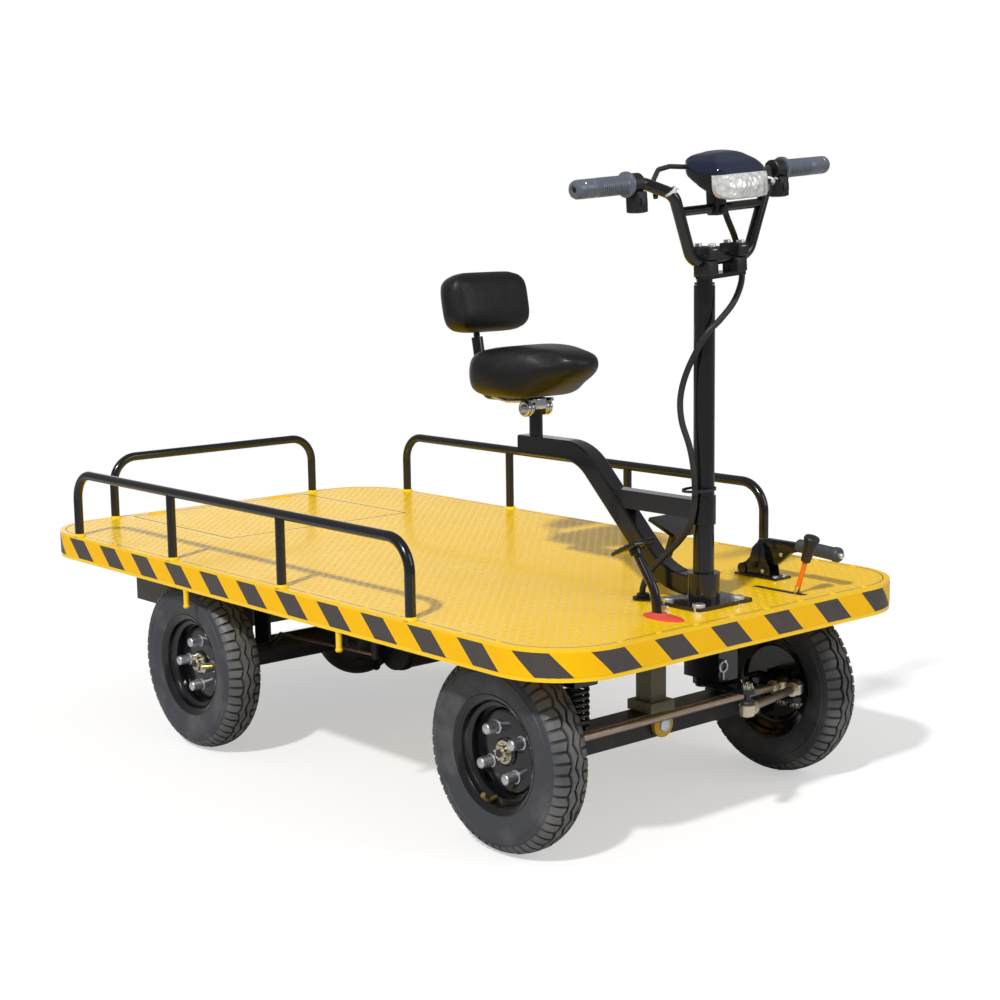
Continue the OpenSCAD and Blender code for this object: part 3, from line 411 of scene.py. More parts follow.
def lathe(profile, steps=48):
    """Closed outline of (radius, height) in millimetres, turned about Z."""
    fresh()
    bpy.ops.mesh.primitive_circle_add(vertices=len(profile), radius=1)
    piece = bpy.context.object
    for corner, (r, z) in zip(piece.data.vertices, profile):
        corner.co = (r * MM, 0, z * MM)
    editing(piece)
    bpy.ops.mesh.spin(steps=steps, angle=math.tau, center=(0, 0, 0), axis=(0, 0, 1))
    bpy.ops.mesh.select_all(action="SELECT")
    bpy.ops.mesh.remove_doubles(threshold=1e-6)
    bpy.ops.mesh.dissolve_degenerate(threshold=1e-7)
    leave()
    return piece


def tube(points, radius, smooth=4):
    """Round bar of that radius along points in millimetres."""
    fresh()
    bpy.ops.curve.primitive_bezier_curve_add()
    line = bpy.context.object.data
    line.splines.clear()
    spline = line.splines.new("POLY")
    spline.points.add(len(points) - 1)
    for point, place in zip(spline.points, points):
        point.co = (*(Vector(place) * MM), 1)
    line.bevel_depth = radius * MM
    line.bevel_resolution = smooth
    line.use_fill_caps = True
    bpy.ops.object.convert(target="MESH")
    return bpy.context.object


def rounded(corners, bend_r, steps=8):
    """Path through corners with each inner corner bent to a radius."""
    corners = [Vector(c) for c in corners]
    path = [corners[0]]
    for a, b, c in zip(corners, corners[1:], corners[2:]):
        into, out = (b - a).normalized(), (c - b).normalized()
        turn = into.angle(out)
        inward = (out - into * into.dot(out)).normalized()
        centre = b - into * bend_r * math.tan(turn / 2) + inward * bend_r
        for k in range(steps + 1):
            t = turn * k / steps
            path.append(centre + bend_r * (math.sin(t) * into - math.cos(t) * inward))
    return path + [corners[-1]]


def aim(piece, place, way=(0, 0, 1)):
    """Stands a piece that was made on Z at a place in millimetres, its Z along way."""
    piece.rotation_euler = Vector(way).to_track_quat("Z", "Y").to_euler()
    piece.location = Vector(place) * MM
    return settle(piece)


def set_out(pattern, places):
    """A copy of the pattern at each (place, way), joined; the pattern is used up."""
    copies = [aim(copy_of(pattern), place, way) for place, way in places]
    solo(pattern)
    bpy.ops.object.delete()
    return join(copies)


def done(piece, name, finish, body, replaced=(), angle=35):
    settle(piece)
    editing(piece)
    bpy.ops.mesh.remove_doubles(threshold=1e-6)
    bpy.ops.mesh.normals_make_consistent(inside=False)
    leave()
    bpy.ops.object.shade_smooth_by_angle(angle=math.radians(angle))
    piece.name = piece.data.name = name
    if finish:
        piece.data.materials.clear()
        piece.data.materials.append(finish)
    if replaced:
        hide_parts(*replaced)
    if body:
        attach(piece, body)
    print(name, len(piece.data.polygons), "faces on", body)
    return piece


print("modelling tools ready")

# %% [markdown]
# ## Hazard tape
# The skirt carries a band of amber and dark tape. Its length runs round rounded corners, so the band
# starts as a plane with its four corners bevelled, and its rim is extruded upward. The stripes are
# drawn in the material from the band's own UV: how far round it is, and how high.

# %% Hazard tape
DECK_L, DECK_W, DECK_R, DECK_TOP = 1860.0, 1000.0, 150.0, 435
DECK_ROUND = 2 * (DECK_L + DECK_W - 4 * DECK_R) + math.tau * DECK_R
TAPE_LOW, TAPE_HIGH, TAPE_OUT = 384, 428, 0.5
STRIPE_PITCH, STRIPE_DARK, STRIPE_START = 144.0, 70.0, 9.0


def deck_outline(grow, segments=14):
    """Flat face in the deck's plan, larger than it by grow."""
    fresh()
    bpy.ops.mesh.primitive_plane_add(size=1)
    piece = bpy.context.object
    piece.scale = ((DECK_L + 2 * grow) * MM, (DECK_W + 2 * grow) * MM, 1)
    settle(piece)
    editing(piece)
    bpy.ops.mesh.bevel(offset=(DECK_R + grow) * MM, segments=segments, affect="VERTICES")
    leave()
    return piece


def round_the_deck(place):
    """Distance round the deck in millimetres, from the rear of its right side, forward."""
    x, y = place.x / MM, place.y / MM
    half_l, half_w = DECK_L / 2 - DECK_R, DECK_W / 2 - DECK_R
    corner = DECK_R * math.pi / 2
    cx, cy = max(-half_l, min(half_l, x)), max(-half_w, min(half_w, y))
    turn = (math.atan2(y - cy, x - cx) + math.pi / 2) % math.tau
    quarter = turn / (math.pi / 2)
    sides = [x + half_l, y + half_w, half_l - x, half_w - y]
    runs = [2 * half_l, 2 * half_w, 2 * half_l, 2 * half_w]
    k = min(int(quarter + 1e-4), 3)
    start = sum(runs[:k]) + k * corner
    if quarter - k < 1e-3:
        return start + sides[k]
    return start + runs[k] + (quarter - k) * corner


def tape_finish():
    f = Finish("hazard_tape")
    along = f.node("ShaderNodeSeparateXYZ", None, {"Vector": f.node("ShaderNodeTexCoord", out=2)})
    height = Wire(f, along.socket.node.outputs[1])
    shift = (along + height - (TAPE_HIGH + STRIPE_START) * MM) % (STRIPE_PITCH * MM)
    dark = shift < STRIPE_DARK * MM
    worn = f.noise(30.0, 5.0)
    amber = f.mix(worn, tint(252, 195, 0), tint(247, 185, 0))
    grey = f.mix(worn, tint(70, 64, 62), tint(84, 78, 75))
    return f.shade(base_color=f.mix(dark, amber, grey), roughness=(worn * 0.2 + 0.3), specular_ior_level=0.2,
                   normal=f.bump(f.noise(140.0, 3.0), 0.00006))


tape = deck_outline(TAPE_OUT)
tape.location.z = TAPE_LOW * MM
settle(tape)
editing(tape, "FACE")
bpy.ops.mesh.delete(type="ONLY_FACE")
bpy.ops.mesh.select_mode(type="EDGE")
bpy.ops.mesh.select_all(action="SELECT")
bpy.ops.mesh.extrude_region_move(TRANSFORM_OT_translate={"value": (0, 0, (TAPE_HIGH - TAPE_LOW) * MM)})
leave()
chart = tape.data.uv_layers[0]
for face in tape.data.polygons:
    spots = [tape.data.vertices[tape.data.loops[k].vertex_index].co for k in face.loop_indices]
    runs = [round_the_deck(p) for p in spots]
    closes_the_ring = max(runs) - min(runs) > DECK_ROUND / 2
    for k, p, run in zip(face.loop_indices, spots, runs):
        if closes_the_ring and run < DECK_ROUND / 2:
            run += DECK_ROUND
        chart.data[k].uv = (run * MM, p.z)
done(tape, "hazard_tape", tape_finish(), "chassis")

# %% [markdown]
# ## Deck seam and welds
# The deck plate lies inside a folded rim. The shadow in the joint is painted as a dark line, and short welds
# bridge it every hand's width. The painted line is the outline inset twice, and each weld is a flattened
# sphere.

# %% Deck seam
SEAM_IN, SEAM_W, SEAM_LIFT = 12.4, 1.7, 0.12
WELD_L, WELD_W, WELD_H, WELD_LIFT, WELD_PITCH = 7.5, 3.4, 1.3, 0.2, 96.0
WELDS_LONG, WELDS_ACROSS, START_LONG, START_ACROSS = 17, 8, 12, 14
HATCH = ((-892, -256), (-455, 256))
HATCH_GAP, HATCH_GAP_OUT = 3.2, 3.0
# Painted shadow: a flat dark strip colour for the shaded gaps along the rim and round the hatch.
gap_shadow_paint = paint("gap_shadow_paint", tint(44, 36, 20), tint(64, 52, 26), 0.6, 0.2)
seam = deck_outline(-SEAM_IN)
seam.location.z = (DECK_TOP + SEAM_LIFT) * MM
settle(seam)
editing(seam, "FACE")
bpy.ops.mesh.inset(thickness=SEAM_W * MM)
bpy.ops.mesh.delete(type="FACE")
leave()
done(seam, "deck_seam_shadow", gap_shadow_paint, "chassis")

# A dark flat frame round the hatch lid: painted shadow in the gap.
fresh()
(hx0, hy0), (hx1, hy1) = HATCH
bpy.ops.mesh.primitive_plane_add(size=1, location=((hx0 + hx1) / 2 * MM, 0, (DECK_TOP + SEAM_LIFT) * MM))
gap = bpy.context.object
gap.scale = ((hx1 - hx0 + 2 * HATCH_GAP_OUT) * MM, (hy1 - hy0 + 2 * HATCH_GAP_OUT) * MM, 1)
settle(gap)
editing(gap, "FACE")
bpy.ops.mesh.inset(thickness=HATCH_GAP * MM)
bpy.ops.mesh.delete(type="FACE")
leave()
done(gap, "hatch_gap_shadow", gap_shadow_paint, "chassis")

fresh()
bpy.ops.mesh.primitive_uv_sphere_add(segments=12, ring_count=8, radius=1)
weld = bpy.context.object
weld.scale = (WELD_L * MM, WELD_W * MM, WELD_H * MM)
settle(weld)
weld_y, weld_x = DECK_W / 2 - SEAM_IN - SEAM_W / 2, DECK_L / 2 - SEAM_IN - SEAM_W / 2
places = []
for k in range(WELDS_LONG):
    x = -DECK_L / 2 + DECK_R + START_LONG + k * WELD_PITCH
    places += [(x, s * weld_y, 0.0) for s in (-1, 1)]
for k in range(WELDS_ACROSS):
    y = -DECK_W / 2 + DECK_R + START_ACROSS + k * WELD_PITCH
    places += [(s * weld_x, y, math.pi / 2) for s in (-1, 1)]
beads = []
for x, y, turn in places:
    bead = copy_of(weld)
    bead.rotation_euler.z = turn
    bead.location = (x * MM, y * MM, (DECK_TOP + WELD_LIFT) * MM)
    beads.append(settle(bead))
solo(weld)
bpy.ops.object.delete()
done(join(beads), "seam_welds", deck_yellow, "chassis")

# %% [markdown]
# ## Checker plate
# The deck is rolled with small raised bars, every second one turned a quarter, so a boot grips both
# ways. One bar is a cube with its top drawn in. Two Array modifiers lay it out, a turned copy fills the
# spaces, and bars that would cross a seam, a hole or a foot plate are deleted.

# %% Checker plate
BAR_L, BAR_W, BAR_H, BAR_SINK, BAR_PITCH = 16.0, 4.6, 0.7, 0.05, 24.0
FIELD_IN, EDGE_CLEAR, HATCH_CLEAR, HINGE_CLEAR, LID_CLEAR = 30, 24, 16, 18, 12
# Base plate, boot, selector slot, gland, foot rest and hand brake, each as x and y of two corners
KEEP_OUT = [(736, -79, 864, 79), (798, -176, 892, -124), (744, 174, 900, 212), (672, -78, 716, -34),
            (562, 72, 618, 128), (646, 248, 766, 304)]


def bar_field(low, high, turned):
    fresh()
    bpy.ops.mesh.primitive_cube_add(size=1)
    piece = bpy.context.object
    piece.scale = (BAR_L * MM, BAR_W * MM, BAR_H * MM)
    if turned:
        piece.rotation_euler.z = math.pi / 2
    step = BAR_PITCH / 2 if turned else 0
    middle_z = DECK_TOP + BAR_H / 2 - BAR_SINK
    piece.location = ((low[0] + step) * MM, (low[1] + step) * MM, middle_z * MM)
    settle(piece)
    editing(piece, "FACE", lambda face: face.normal.z > 0.9)
    bpy.ops.transform.resize(value=(0.7, 0.45, 1) if not turned else (0.45, 0.7, 1))
    leave()
    editing(piece, "FACE", lambda face: face.normal.z < -0.9)
    bpy.ops.mesh.delete(type="FACE")
    leave()
    for axis in (0, 1):
        count = int((high[axis] - low[axis] - step) / BAR_PITCH) + 1
        offset = [0, 0, 0]
        offset[axis] = BAR_PITCH * MM
        modify(piece, "ARRAY", count=count, use_relative_offset=False, use_constant_offset=True,
               constant_offset_displace=offset)
    return piece


def thin_out(piece, keep):
    """Deletes the bars, eight corners each, whose middle fails keep(x, y)."""
    places = [v.co for v in piece.data.vertices]
    lost = set()
    for k in range(0, len(places), 8):
        x = sum(p.x for p in places[k:k + 8]) / 8 / MM
        y = sum(p.y for p in places[k:k + 8]) / 8 / MM
        if not keep(x, y):
            lost.update(range(k, k + 8))
    editing(piece, "VERT", lambda corner: corner.index in lost)
    bpy.ops.mesh.delete(type="VERT")
    leave()
    return piece


def on_deck(x, y):
    if abs(x) > DECK_L / 2 - EDGE_CLEAR or abs(y) > DECK_W / 2 - EDGE_CLEAR:
        return False
    cx, cy = abs(x) - (DECK_L / 2 - DECK_R), abs(y) - (DECK_W / 2 - DECK_R)
    if cx > 0 and cy > 0 and math.hypot(cx, cy) > DECK_R - EDGE_CLEAR:
        return False
    if hx0 - HINGE_CLEAR < x < hx1 + HATCH_CLEAR and hy0 - HATCH_CLEAR < y < hy1 + HATCH_CLEAR:
        return False
    return not any(x0 < x < x1 and y0 < y < y1 for x0, y0, x1, y1 in KEEP_OUT)


def on_hatch(x, y):
    return hx0 + LID_CLEAR < x < hx1 - LID_CLEAR and hy0 + LID_CLEAR < y < hy1 - LID_CLEAR


corner_high = (DECK_L / 2 - FIELD_IN, DECK_W / 2 - FIELD_IN)
corner_low = (-corner_high[0], -corner_high[1])
for name, keep, body in (("deck_tread", on_deck, "chassis"), ("hatch_tread", on_hatch, "hatch")):
    bars = [thin_out(bar_field(corner_low, corner_high, turned), keep) for turned in (False, True)]
    done(join(bars), name, deck_yellow, body)

# %% [markdown]
# ## Tyres
# A small pneumatic tyre: smooth side walls with a rim guard, a scalloped band round the middle of the
# tread and rungs down both shoulders. The carcass and the band are turned from their sections, and the
# band's edges are then swung in and out. A rung is a grid laid on the tread and thickened inwards. One
# wave of rungs is copied round the axle, and the finished tyre is copied to each wheel.

# %% Tyres
AXLE_Z = 190
# Place on the axle, outer side, turn of the nuts and turn of the valve
WHEELS = {"front_right": (660, -376, -1, 31, -101), "front_left": (660, 376, 1, 31, 101),
          "rear_right": (-330, -418, -1, 0, 8), "rear_left": (-330, 418, 1, 0, -8)}
half_section = [(105, 31), (111, 34), (117, 37.4), (120, 38.2), (123, 38.6), (131, 41.6), (142, 43.4),
                (152, 43.6), (153.4, 44.6), (157, 44.4), (158.4, 43.2), (164, 42), (170.6, 39), (175.4, 34),
                (178.8, 27), (181.6, 19), (183.4, 8)]
CROWN = [(190, 0), (189.4, 10), (187.8, 18), (184.6, 26.5), (180.6, 33), (175.6, 38), (171, 40.6)]
TREAD_WAVES, RUNG_GAP, TREAD_DEEP, TOP_WITHIN = 28, 6.4, 8.0, 1.5
BAND_W, BAND_SWING, GROOVE, ZIGZAG = 9.5, 6.0, 6.4, 4.2
carcass = lathe(half_section + [(r, -z) for r, z in reversed(half_section)], 96)


def crown(across):
    """Radius of the tread at a distance from the wheel's middle plane."""
    across = abs(across)
    for (r0, z0), (r1, z1) in zip(CROWN, CROWN[1:]):
        if across <= z1:
            return r0 + (r1 - r0) * (across - z0) / (z1 - z0)
    return CROWN[-1][0]


def band_edge(turn, side):
    """Half width of the middle band, in scallops that are staggered between its two sides."""
    stagger = 0 if side > 0 else math.pi / TREAD_WAVES
    return BAND_W + BAND_SWING * (1 - abs(math.sin(TREAD_WAVES / 2 * (turn + stagger))))


def rung(side, start, sweep):
    fresh()
    bpy.ops.mesh.primitive_grid_add(x_subdivisions=6, y_subdivisions=4, size=1)
    piece = bpy.context.object
    for corner in piece.data.vertices:
        turn = start + (corner.co.y + 0.5) * sweep
        inner = band_edge(turn, side) + GROOVE
        across = side * (inner + (CROWN[-1][1] - inner) * (corner.co.x + 0.5))
        radius = crown(across)
        corner.co = Vector((radius * math.cos(turn), radius * math.sin(turn), across)) * MM
    return modify(piece, "SOLIDIFY", thickness=TREAD_DEEP * MM, offset=side)


def band_half(side):
    """One side of the middle band, between a zig-zag groove and the scallops."""
    strip = lathe([(182, 0), (189.8, 0), (189.2, 1), (182, 1)], TREAD_WAVES * 8)
    for corner in strip.data.vertices:
        turn = math.atan2(corner.co.y, corner.co.x)
        middle = ZIGZAG * math.asin(math.sin(TREAD_WAVES * turn)) * 2 / math.pi
        inner = GROOVE / 2 + side * middle
        across = inner + (band_edge(turn, side) - inner) * corner.co.z / MM
        corner.co.z = side * across * MM
    return strip


def mark_top(piece):
    """Stores 1 at the corners that touch the road and 0 at those down in the grooves."""
    top = piece.data.attributes.new("tread_top", "FLOAT", "POINT")
    for corner, value in zip(piece.data.vertices, top.data):
        radius = math.hypot(corner.co.x, corner.co.y) / MM
        value.value = float(radius > crown(corner.co.z / MM) - TOP_WITHIN)
    return piece


band = mark_top(join([band_half(-1), band_half(1)]))
half_wave, gap_turn = math.pi / TREAD_WAVES, RUNG_GAP / CROWN[2][0]
pattern = mark_top(join([rung(side, k * half_wave + gap_turn / 2, half_wave - gap_turn)
                         for side in (-1, 1) for k in (0, 1)]))
rungs = []
for k in range(TREAD_WAVES):
    copy = copy_of(pattern)
    copy.rotation_euler.z = 2 * k * half_wave
    rungs.append(settle(copy))
solo(pattern)
bpy.ops.object.delete()
tyre = join([carcass, band] + rungs)


def on_axle(piece, wheel):
    """Puts a piece made about Z, its outer side up, on a wheel's axle."""
    x, y, side, _, _ = WHEELS[wheel]
    spot = Matrix.Translation(Vector((x, y, AXLE_Z)) * MM)
    piece.matrix_world = spot @ Matrix.Rotation(-side * math.pi / 2, 4, "X")
    return settle(piece)


for wheel in WHEELS:
    done(on_axle(copy_of(tyre), wheel), "tread_tyre_" + wheel, tyre_rubber, "wheel_" + wheel,
         ["tyre_" + wheel], 28)
solo(tyre)
bpy.ops.object.delete()

# %% [markdown]
# ## Rims and wheel nuts
# The pressed steel rim steps down from its rolled lip to a flat disc. Four long plated nuts with round
# ends hold it, and a slotted nut with a split pin holds the hub. A bent brass valve comes through the
# well of the rim.

# %% Rims and wheel nuts
NUT_CIRCLE_R, HUB_FACE = 50, 8.1
barrel = [(113, 37), (115, 36.4), (115, 34.5), (105.5, 31.5), (104, 18), (91, 12)]
barrel += [(r, -z) for r, z in reversed(barrel)]
inner_face = [(110, -36), (101, -31), (99, -20), (86.5, -13), (82, -12), (75, -5), (29, -5), (29, -18),
              (13, -18)]
outer_face = [(13, 8), (24, 8), (27, 6), (27, 3), (70, 2.6), (78, 1), (83, -4), (87, -4), (88, 13),
              (96, 16.5), (98.5, 20), (99.5, 29), (104, 33.5), (110, 36)]
rim = lathe(barrel + inner_face + outer_face, 80)
nut_section = [(0, 2), (13.5, 2), (13.5, 5), (11.2, 5.4), (11.2, 28), (10.2, 31), (7, 33), (0, 33.6)]


def wheel_nut():
    shank = lathe(nut_section, 12)
    return modify(shank, "BEVEL", width=0.6 * MM, segments=2, limit_method="ANGLE")


def castle_nut(radius, height, place, way):
    """Hexagon nut with six slots cut across its top, and a split pin through one pair."""
    fresh()
    bpy.ops.mesh.primitive_cylinder_add(vertices=6, radius=radius * MM, depth=height * 0.62 * MM,
                                        location=(0, 0, height * 0.31 * MM))
    body = modify(bpy.context.object, "BEVEL", width=radius * 0.05 * MM, segments=2, limit_method="ANGLE")
    teeth = []
    for k in range(6):
        low, high = (radius * 0.42, -radius * 0.3, height * 0.5), (radius * 0.84, radius * 0.3, height)
        tooth = block(low, high, radius * 0.05)
        tooth.rotation_euler.z = k * math.pi / 3
        teeth.append(settle(tooth))
    fresh()
    bpy.ops.mesh.primitive_cylinder_add(vertices=20, radius=radius * 0.46 * MM, depth=height * 1.1 * MM,
                                        location=(0, 0, height * 0.55 * MM))
    stud = modify(bpy.context.object, "BEVEL", width=radius * 0.06 * MM, segments=2, limit_method="ANGLE")
    pin_z, reach, wire = height * 0.8, radius * 1.15, max(0.9, radius * 0.08)
    pin = tube([(-reach, 0, pin_z), (reach, 0, pin_z), (reach * 1.25, 0, pin_z + reach * 0.5)], wire, 2)
    leg = tube([(-reach, 0, pin_z), (-reach * 1.3, wire, pin_z - reach * 0.45)], wire, 2)
    return aim(join([body, stud, pin, leg] + teeth), place, way)


for wheel, (x, y, side, start, valve_turn) in WHEELS.items():
    body = "wheel_" + wheel
    steel = on_axle(copy_of(rim), wheel)
    done(steel, "steel_rim_" + wheel, black_gloss, body, ["rim_" + wheel], 30)
    nuts = []
    for k in range(4):
        nut = wheel_nut()
        nut.location.x = NUT_CIRCLE_R * MM
        settle(nut)
        nut.rotation_euler.z = math.radians(start + 90 * k)
        nuts.append(settle(nut))
    done(on_axle(join(nuts), wheel), "wheel_nuts_" + wheel, zinc, body)
    stem = rounded([(89, 0, 14), (94, 0, 30), (84, 0, 42)], 6)
    valve = join([tube(stem, 4.2), tube([(87, 0, 38.5), (78, 0, 49)], 5.4)])
    valve.rotation_euler.z = math.radians(valve_turn)
    done(on_axle(settle(valve), wheel), "valve_" + wheel, brass, body)
    holder = "chassis" if wheel.startswith("rear") else "knuckle_" + wheel.split("_")[1]
    out = (0, side, 0)
    washer = aim(lathe([(8, 0), (22, 0), (22, 2.4), (8, 2.4)], 32), (x, y + side * HUB_FACE, AXLE_Z), out)
    nut = castle_nut(18.4, 15, (x, y + side * (HUB_FACE + 0.9), AXLE_Z), out)
    done(join([washer, nut]), "hub_nut_" + wheel, gold_zinc, holder)
solo(rim)
bpy.ops.object.delete()

# %% [markdown]
# ## Handlebar
# One tube is bent into a deep U with the grips on its ends, and a crossbar ties the uprights. It sits
# a few degrees askew in its clamps, as on the real truck, so everything on it is made straight and
# then turned together about the yoke.

# %% Handlebar
BAR_HALF, BAR_IN, BAR_KNEE, BAR_SPAN, RISER_Y = 331.0, 166.0, 123.67, 75.28, 38.62
BAR_X, BAR_Z, GRIP_X, GRIP_Z, CROSS_Z, YOKE_Z = 841, 1086, 817, 1234, 1178, 1052
BAR_TUBE_R, CROSS_TUBE_R, BAR_BEND_R, BAR_ASKEW = 11, 8.5, 30, math.radians(4)
GRIP_L, GRIP_RIBS, GRIP_RIB_PITCH = 120, 13, 5
BAR_SET = (Matrix.Translation((0, 0, YOKE_Z * MM)) @ Matrix.Rotation(BAR_ASKEW, 4, "X")
           @ Matrix.Translation((0, 0, -YOKE_Z * MM)))


def on_bar(piece):
    settle(piece)
    piece.matrix_world = BAR_SET @ piece.matrix_world
    return settle(piece)


half_bar = [(GRIP_X, BAR_HALF, GRIP_Z), (GRIP_X, BAR_IN, GRIP_Z), (BAR_X + 10, BAR_KNEE, CROSS_Z + 32),
            (BAR_X, BAR_SPAN, BAR_Z)]
whole_bar = [(x, -y, z) for x, y, z in half_bar] + half_bar[::-1]
bent = tube(rounded(whole_bar, BAR_BEND_R, 10), BAR_TUBE_R, 6)
crossing = tube([(BAR_X + 6, s * 0.9 * BAR_KNEE, CROSS_Z) for s in (-1, 1)], CROSS_TUBE_R, 6)
done(on_bar(join([bent, crossing])), "bent_bar", black_gloss, "steering", ["handlebar"])

grip_section = [(11.2, -8), (22, -8), (23, -6.5), (23, -1.5), (21, 0), (18, 1.5)]
for k in range(GRIP_RIBS):
    z = 4 + k * GRIP_RIB_PITCH
    grip_section += [(17.2, z), (17.2, z + 2.4), (16, z + 3), (16, z + 4.4)]
grip_section += [(17, 72), (17, 84), (16.2, 85), (16.2, 87), (17, 88), (17, 104), (16, 105), (16, 107),
                 (17, 108), (16.6, 117), (14.5, 121), (11, 123), (7, 123), (6, 121), (5, 120.6), (11.2, 120.5)]
for side, name in ((-1, "right"), (1, "left")):
    grip = aim(lathe(grip_section, 40), (GRIP_X, side * (BAR_HALF - GRIP_L), GRIP_Z), (0, side, 0))
    stands_for = ["grips"] if side < 0 else ()
    done(on_bar(grip), "ribbed_grip_" + name, grip_rubber, "steering", stands_for, 30)

# %% [markdown]
# ## Switch pods and clamps
# Inside each grip sits a clamp ring with a switch block hanging from it. The bar is held by two risers
# with caps, two plated bolts in each. Zip ties keep the wires to the uprights.

# %% Switch pods and clamps
POD_IN = 22
pod_ring = [(11.1, -12), (17.5, -12), (19, -10.5), (19, 10.5), (17.5, 12), (11.1, 12)]
for side, name in ((-1, "right"), (1, "left")):
    y = side * (BAR_HALF - GRIP_L - POD_IN)
    ring = aim(lathe(pod_ring, 32), (GRIP_X, y, GRIP_Z), (0, 1, 0))
    hang = block((GRIP_X - 11, y - 12, GRIP_Z - 51), (GRIP_X + 23, y + 12, GRIP_Z - 13), 3.5, 3)
    editing(hang, "FACE", lambda face: face.normal.z < -0.9)
    bpy.ops.transform.resize(value=(0.8, 0.85, 1))
    leave()
    button = block((GRIP_X + 22, y - 7, GRIP_Z - 40), (GRIP_X + 27, y + 7, GRIP_Z - 24), 1.5)
    pod = on_bar(join([ring, hang, button]))
    stands_for = ["bar_controls"] if side < 0 else ()
    done(pod, "switch_pod_" + name, moulded_black, "steering", stands_for)


def hex_bolt(width, height, washer=1.6):
    """Hexagon head with a bevelled rim on a washer, standing on Z = 0."""
    fresh()
    corner_r = width / 2 / math.cos(math.pi / 6)
    bpy.ops.mesh.primitive_cylinder_add(vertices=6, radius=corner_r * MM, depth=height * MM,
                                        location=(0, 0, (washer + height / 2) * MM))
    head = modify(bpy.context.object, "BEVEL", width=0.07 * width * MM, segments=2, limit_method="ANGLE")
    fresh()
    bpy.ops.mesh.primitive_cylinder_add(vertices=24, radius=0.78 * width * MM, depth=washer * MM,
                                        location=(0, 0, washer / 2 * MM))
    disc = modify(bpy.context.object, "BEVEL", width=0.3 * washer * MM, segments=2, limit_method="ANGLE")
    return join([head, disc])


RISER_TOP = 1110
caps = []
for side in (-1, 1):
    y = side * RISER_Y
    caps.append(block((BAR_X - 25, y - 14, BAR_Z + 1), (BAR_X + 25, y + 14, RISER_TOP + 1), 3, 3))
    caps.append(block((BAR_X - 20, y - 13.5, YOKE_Z + 6), (BAR_X + 20, y + 13.5, BAR_Z - 1), 3, 3))
done(on_bar(join(caps)), "riser_caps", black_satin, "steering", ["bar_clamps"])
riser_bolts = set_out(hex_bolt(13, 10), [((BAR_X + dx, side * RISER_Y, RISER_TOP + 1), (0, 0, 1))
                                        for dx in (-17, 17) for side in (-1, 1)])
done(on_bar(riser_bolts), "riser_bolts", zinc, "steering")

TIE_X, TIE_Y, TIE_Z = BAR_X + 8, 131, 1216
ties = []
for side in (-1, 1):
    y = side * TIE_Y
    strap = lathe([(11.2, -2.2), (12.6, -2.2), (12.6, 2.2), (11.2, 2.2)], 28)
    ties.append(aim(strap, (TIE_X, y, TIE_Z), (-0.25, side * 0.55, 0.8)))
    ties.append(block((TIE_X + 9, y - 3, TIE_Z - 3), (TIE_X + 15, y + 3, TIE_Z + 3), 0.8))
    tail = [(TIE_X + 13, y, TIE_Z), (TIE_X + 22, y - 5, TIE_Z + 6), (TIE_X + 34, y - 13, TIE_Z + 4)]
    ties.append(tube(tail, 1.2, 2))
done(on_bar(join(ties)), "zip_ties", tie_white, "steering")

# %% [markdown]
# ## Headlamp
# A glossy blue-black dome over a black tub, with a clear lens wrapped round the front between them. The
# solid gives the outline with flat sides. A merged copy is remeshed finely and smoothed, which rounds
# it as a moulding is round, and it is cut in two at the edge of the lens.

# %% Headlamp
def merged_copy(*names):
    """Copies of solids as one clean mesh; the solids stay as they are."""
    copies = []
    for name in names:
        solo(nodes[name])
        bpy.ops.object.duplicate()
        copy = bpy.context.object
        copy.parent = None
        for key in list(copy.keys()):
            del copy[key]
        copies.append(copy)
    piece = join(copies)
    editing(piece)
    bpy.ops.mesh.remove_doubles(threshold=0.00002)
    leave()
    return piece


LAMP_TAIL, LAMP_L, LAMP_Z, LAMP_H = 803, 124, 1194, 88
LENS_X, LENS_TOP = LAMP_TAIL + 0.7 * LAMP_L, LAMP_Z + 0.5 * LAMP_H
SEAM_TAIL, SEAM_FALL = 1252, 0.12
LAMP_CELL, LAMP_SOFTEN, LENS_T = 3.2, 14, 1.2
form = merged_copy("headlamp", "headlamp_lens")
form.matrix_world = BAR_SET.inverted() @ form.matrix_world
settle(form)
editing(form, "VERT", lambda corner: corner.co.z < (LAMP_Z - 0.5) * MM)
bpy.ops.mesh.delete(type="VERT")
bpy.ops.mesh.select_all(action="SELECT")
bpy.ops.mesh.fill_holes(sides=0)
leave()
modify(form, "REMESH", mode="VOXEL", voxel_size=LAMP_CELL * MM)
modify(form, "SMOOTH", factor=0.5, iterations=LAMP_SOFTEN)
modify(form, "SUBSURF", levels=1, render_levels=1)


def lens_part(face):
    return face.center.x > LENS_X * MM and face.center.z < LENS_TOP * MM


# The clear lens is painted pale white, lighter and darker facet by facet: painted reflection and glints.
def lens_glare_finish():
    f = Finish("lens_painted_glare")
    facets = f.cells(95.0, "F1")
    return f.shade(base_color=f.mix(facets, tint(244, 244, 240), tint(196, 197, 196)), metallic=0.25,
                   roughness=(facets * 0.2 + 0.08), coat_weight=1.0, coat_roughness=0.02,
                   normal=f.bump(facets, 0.003))


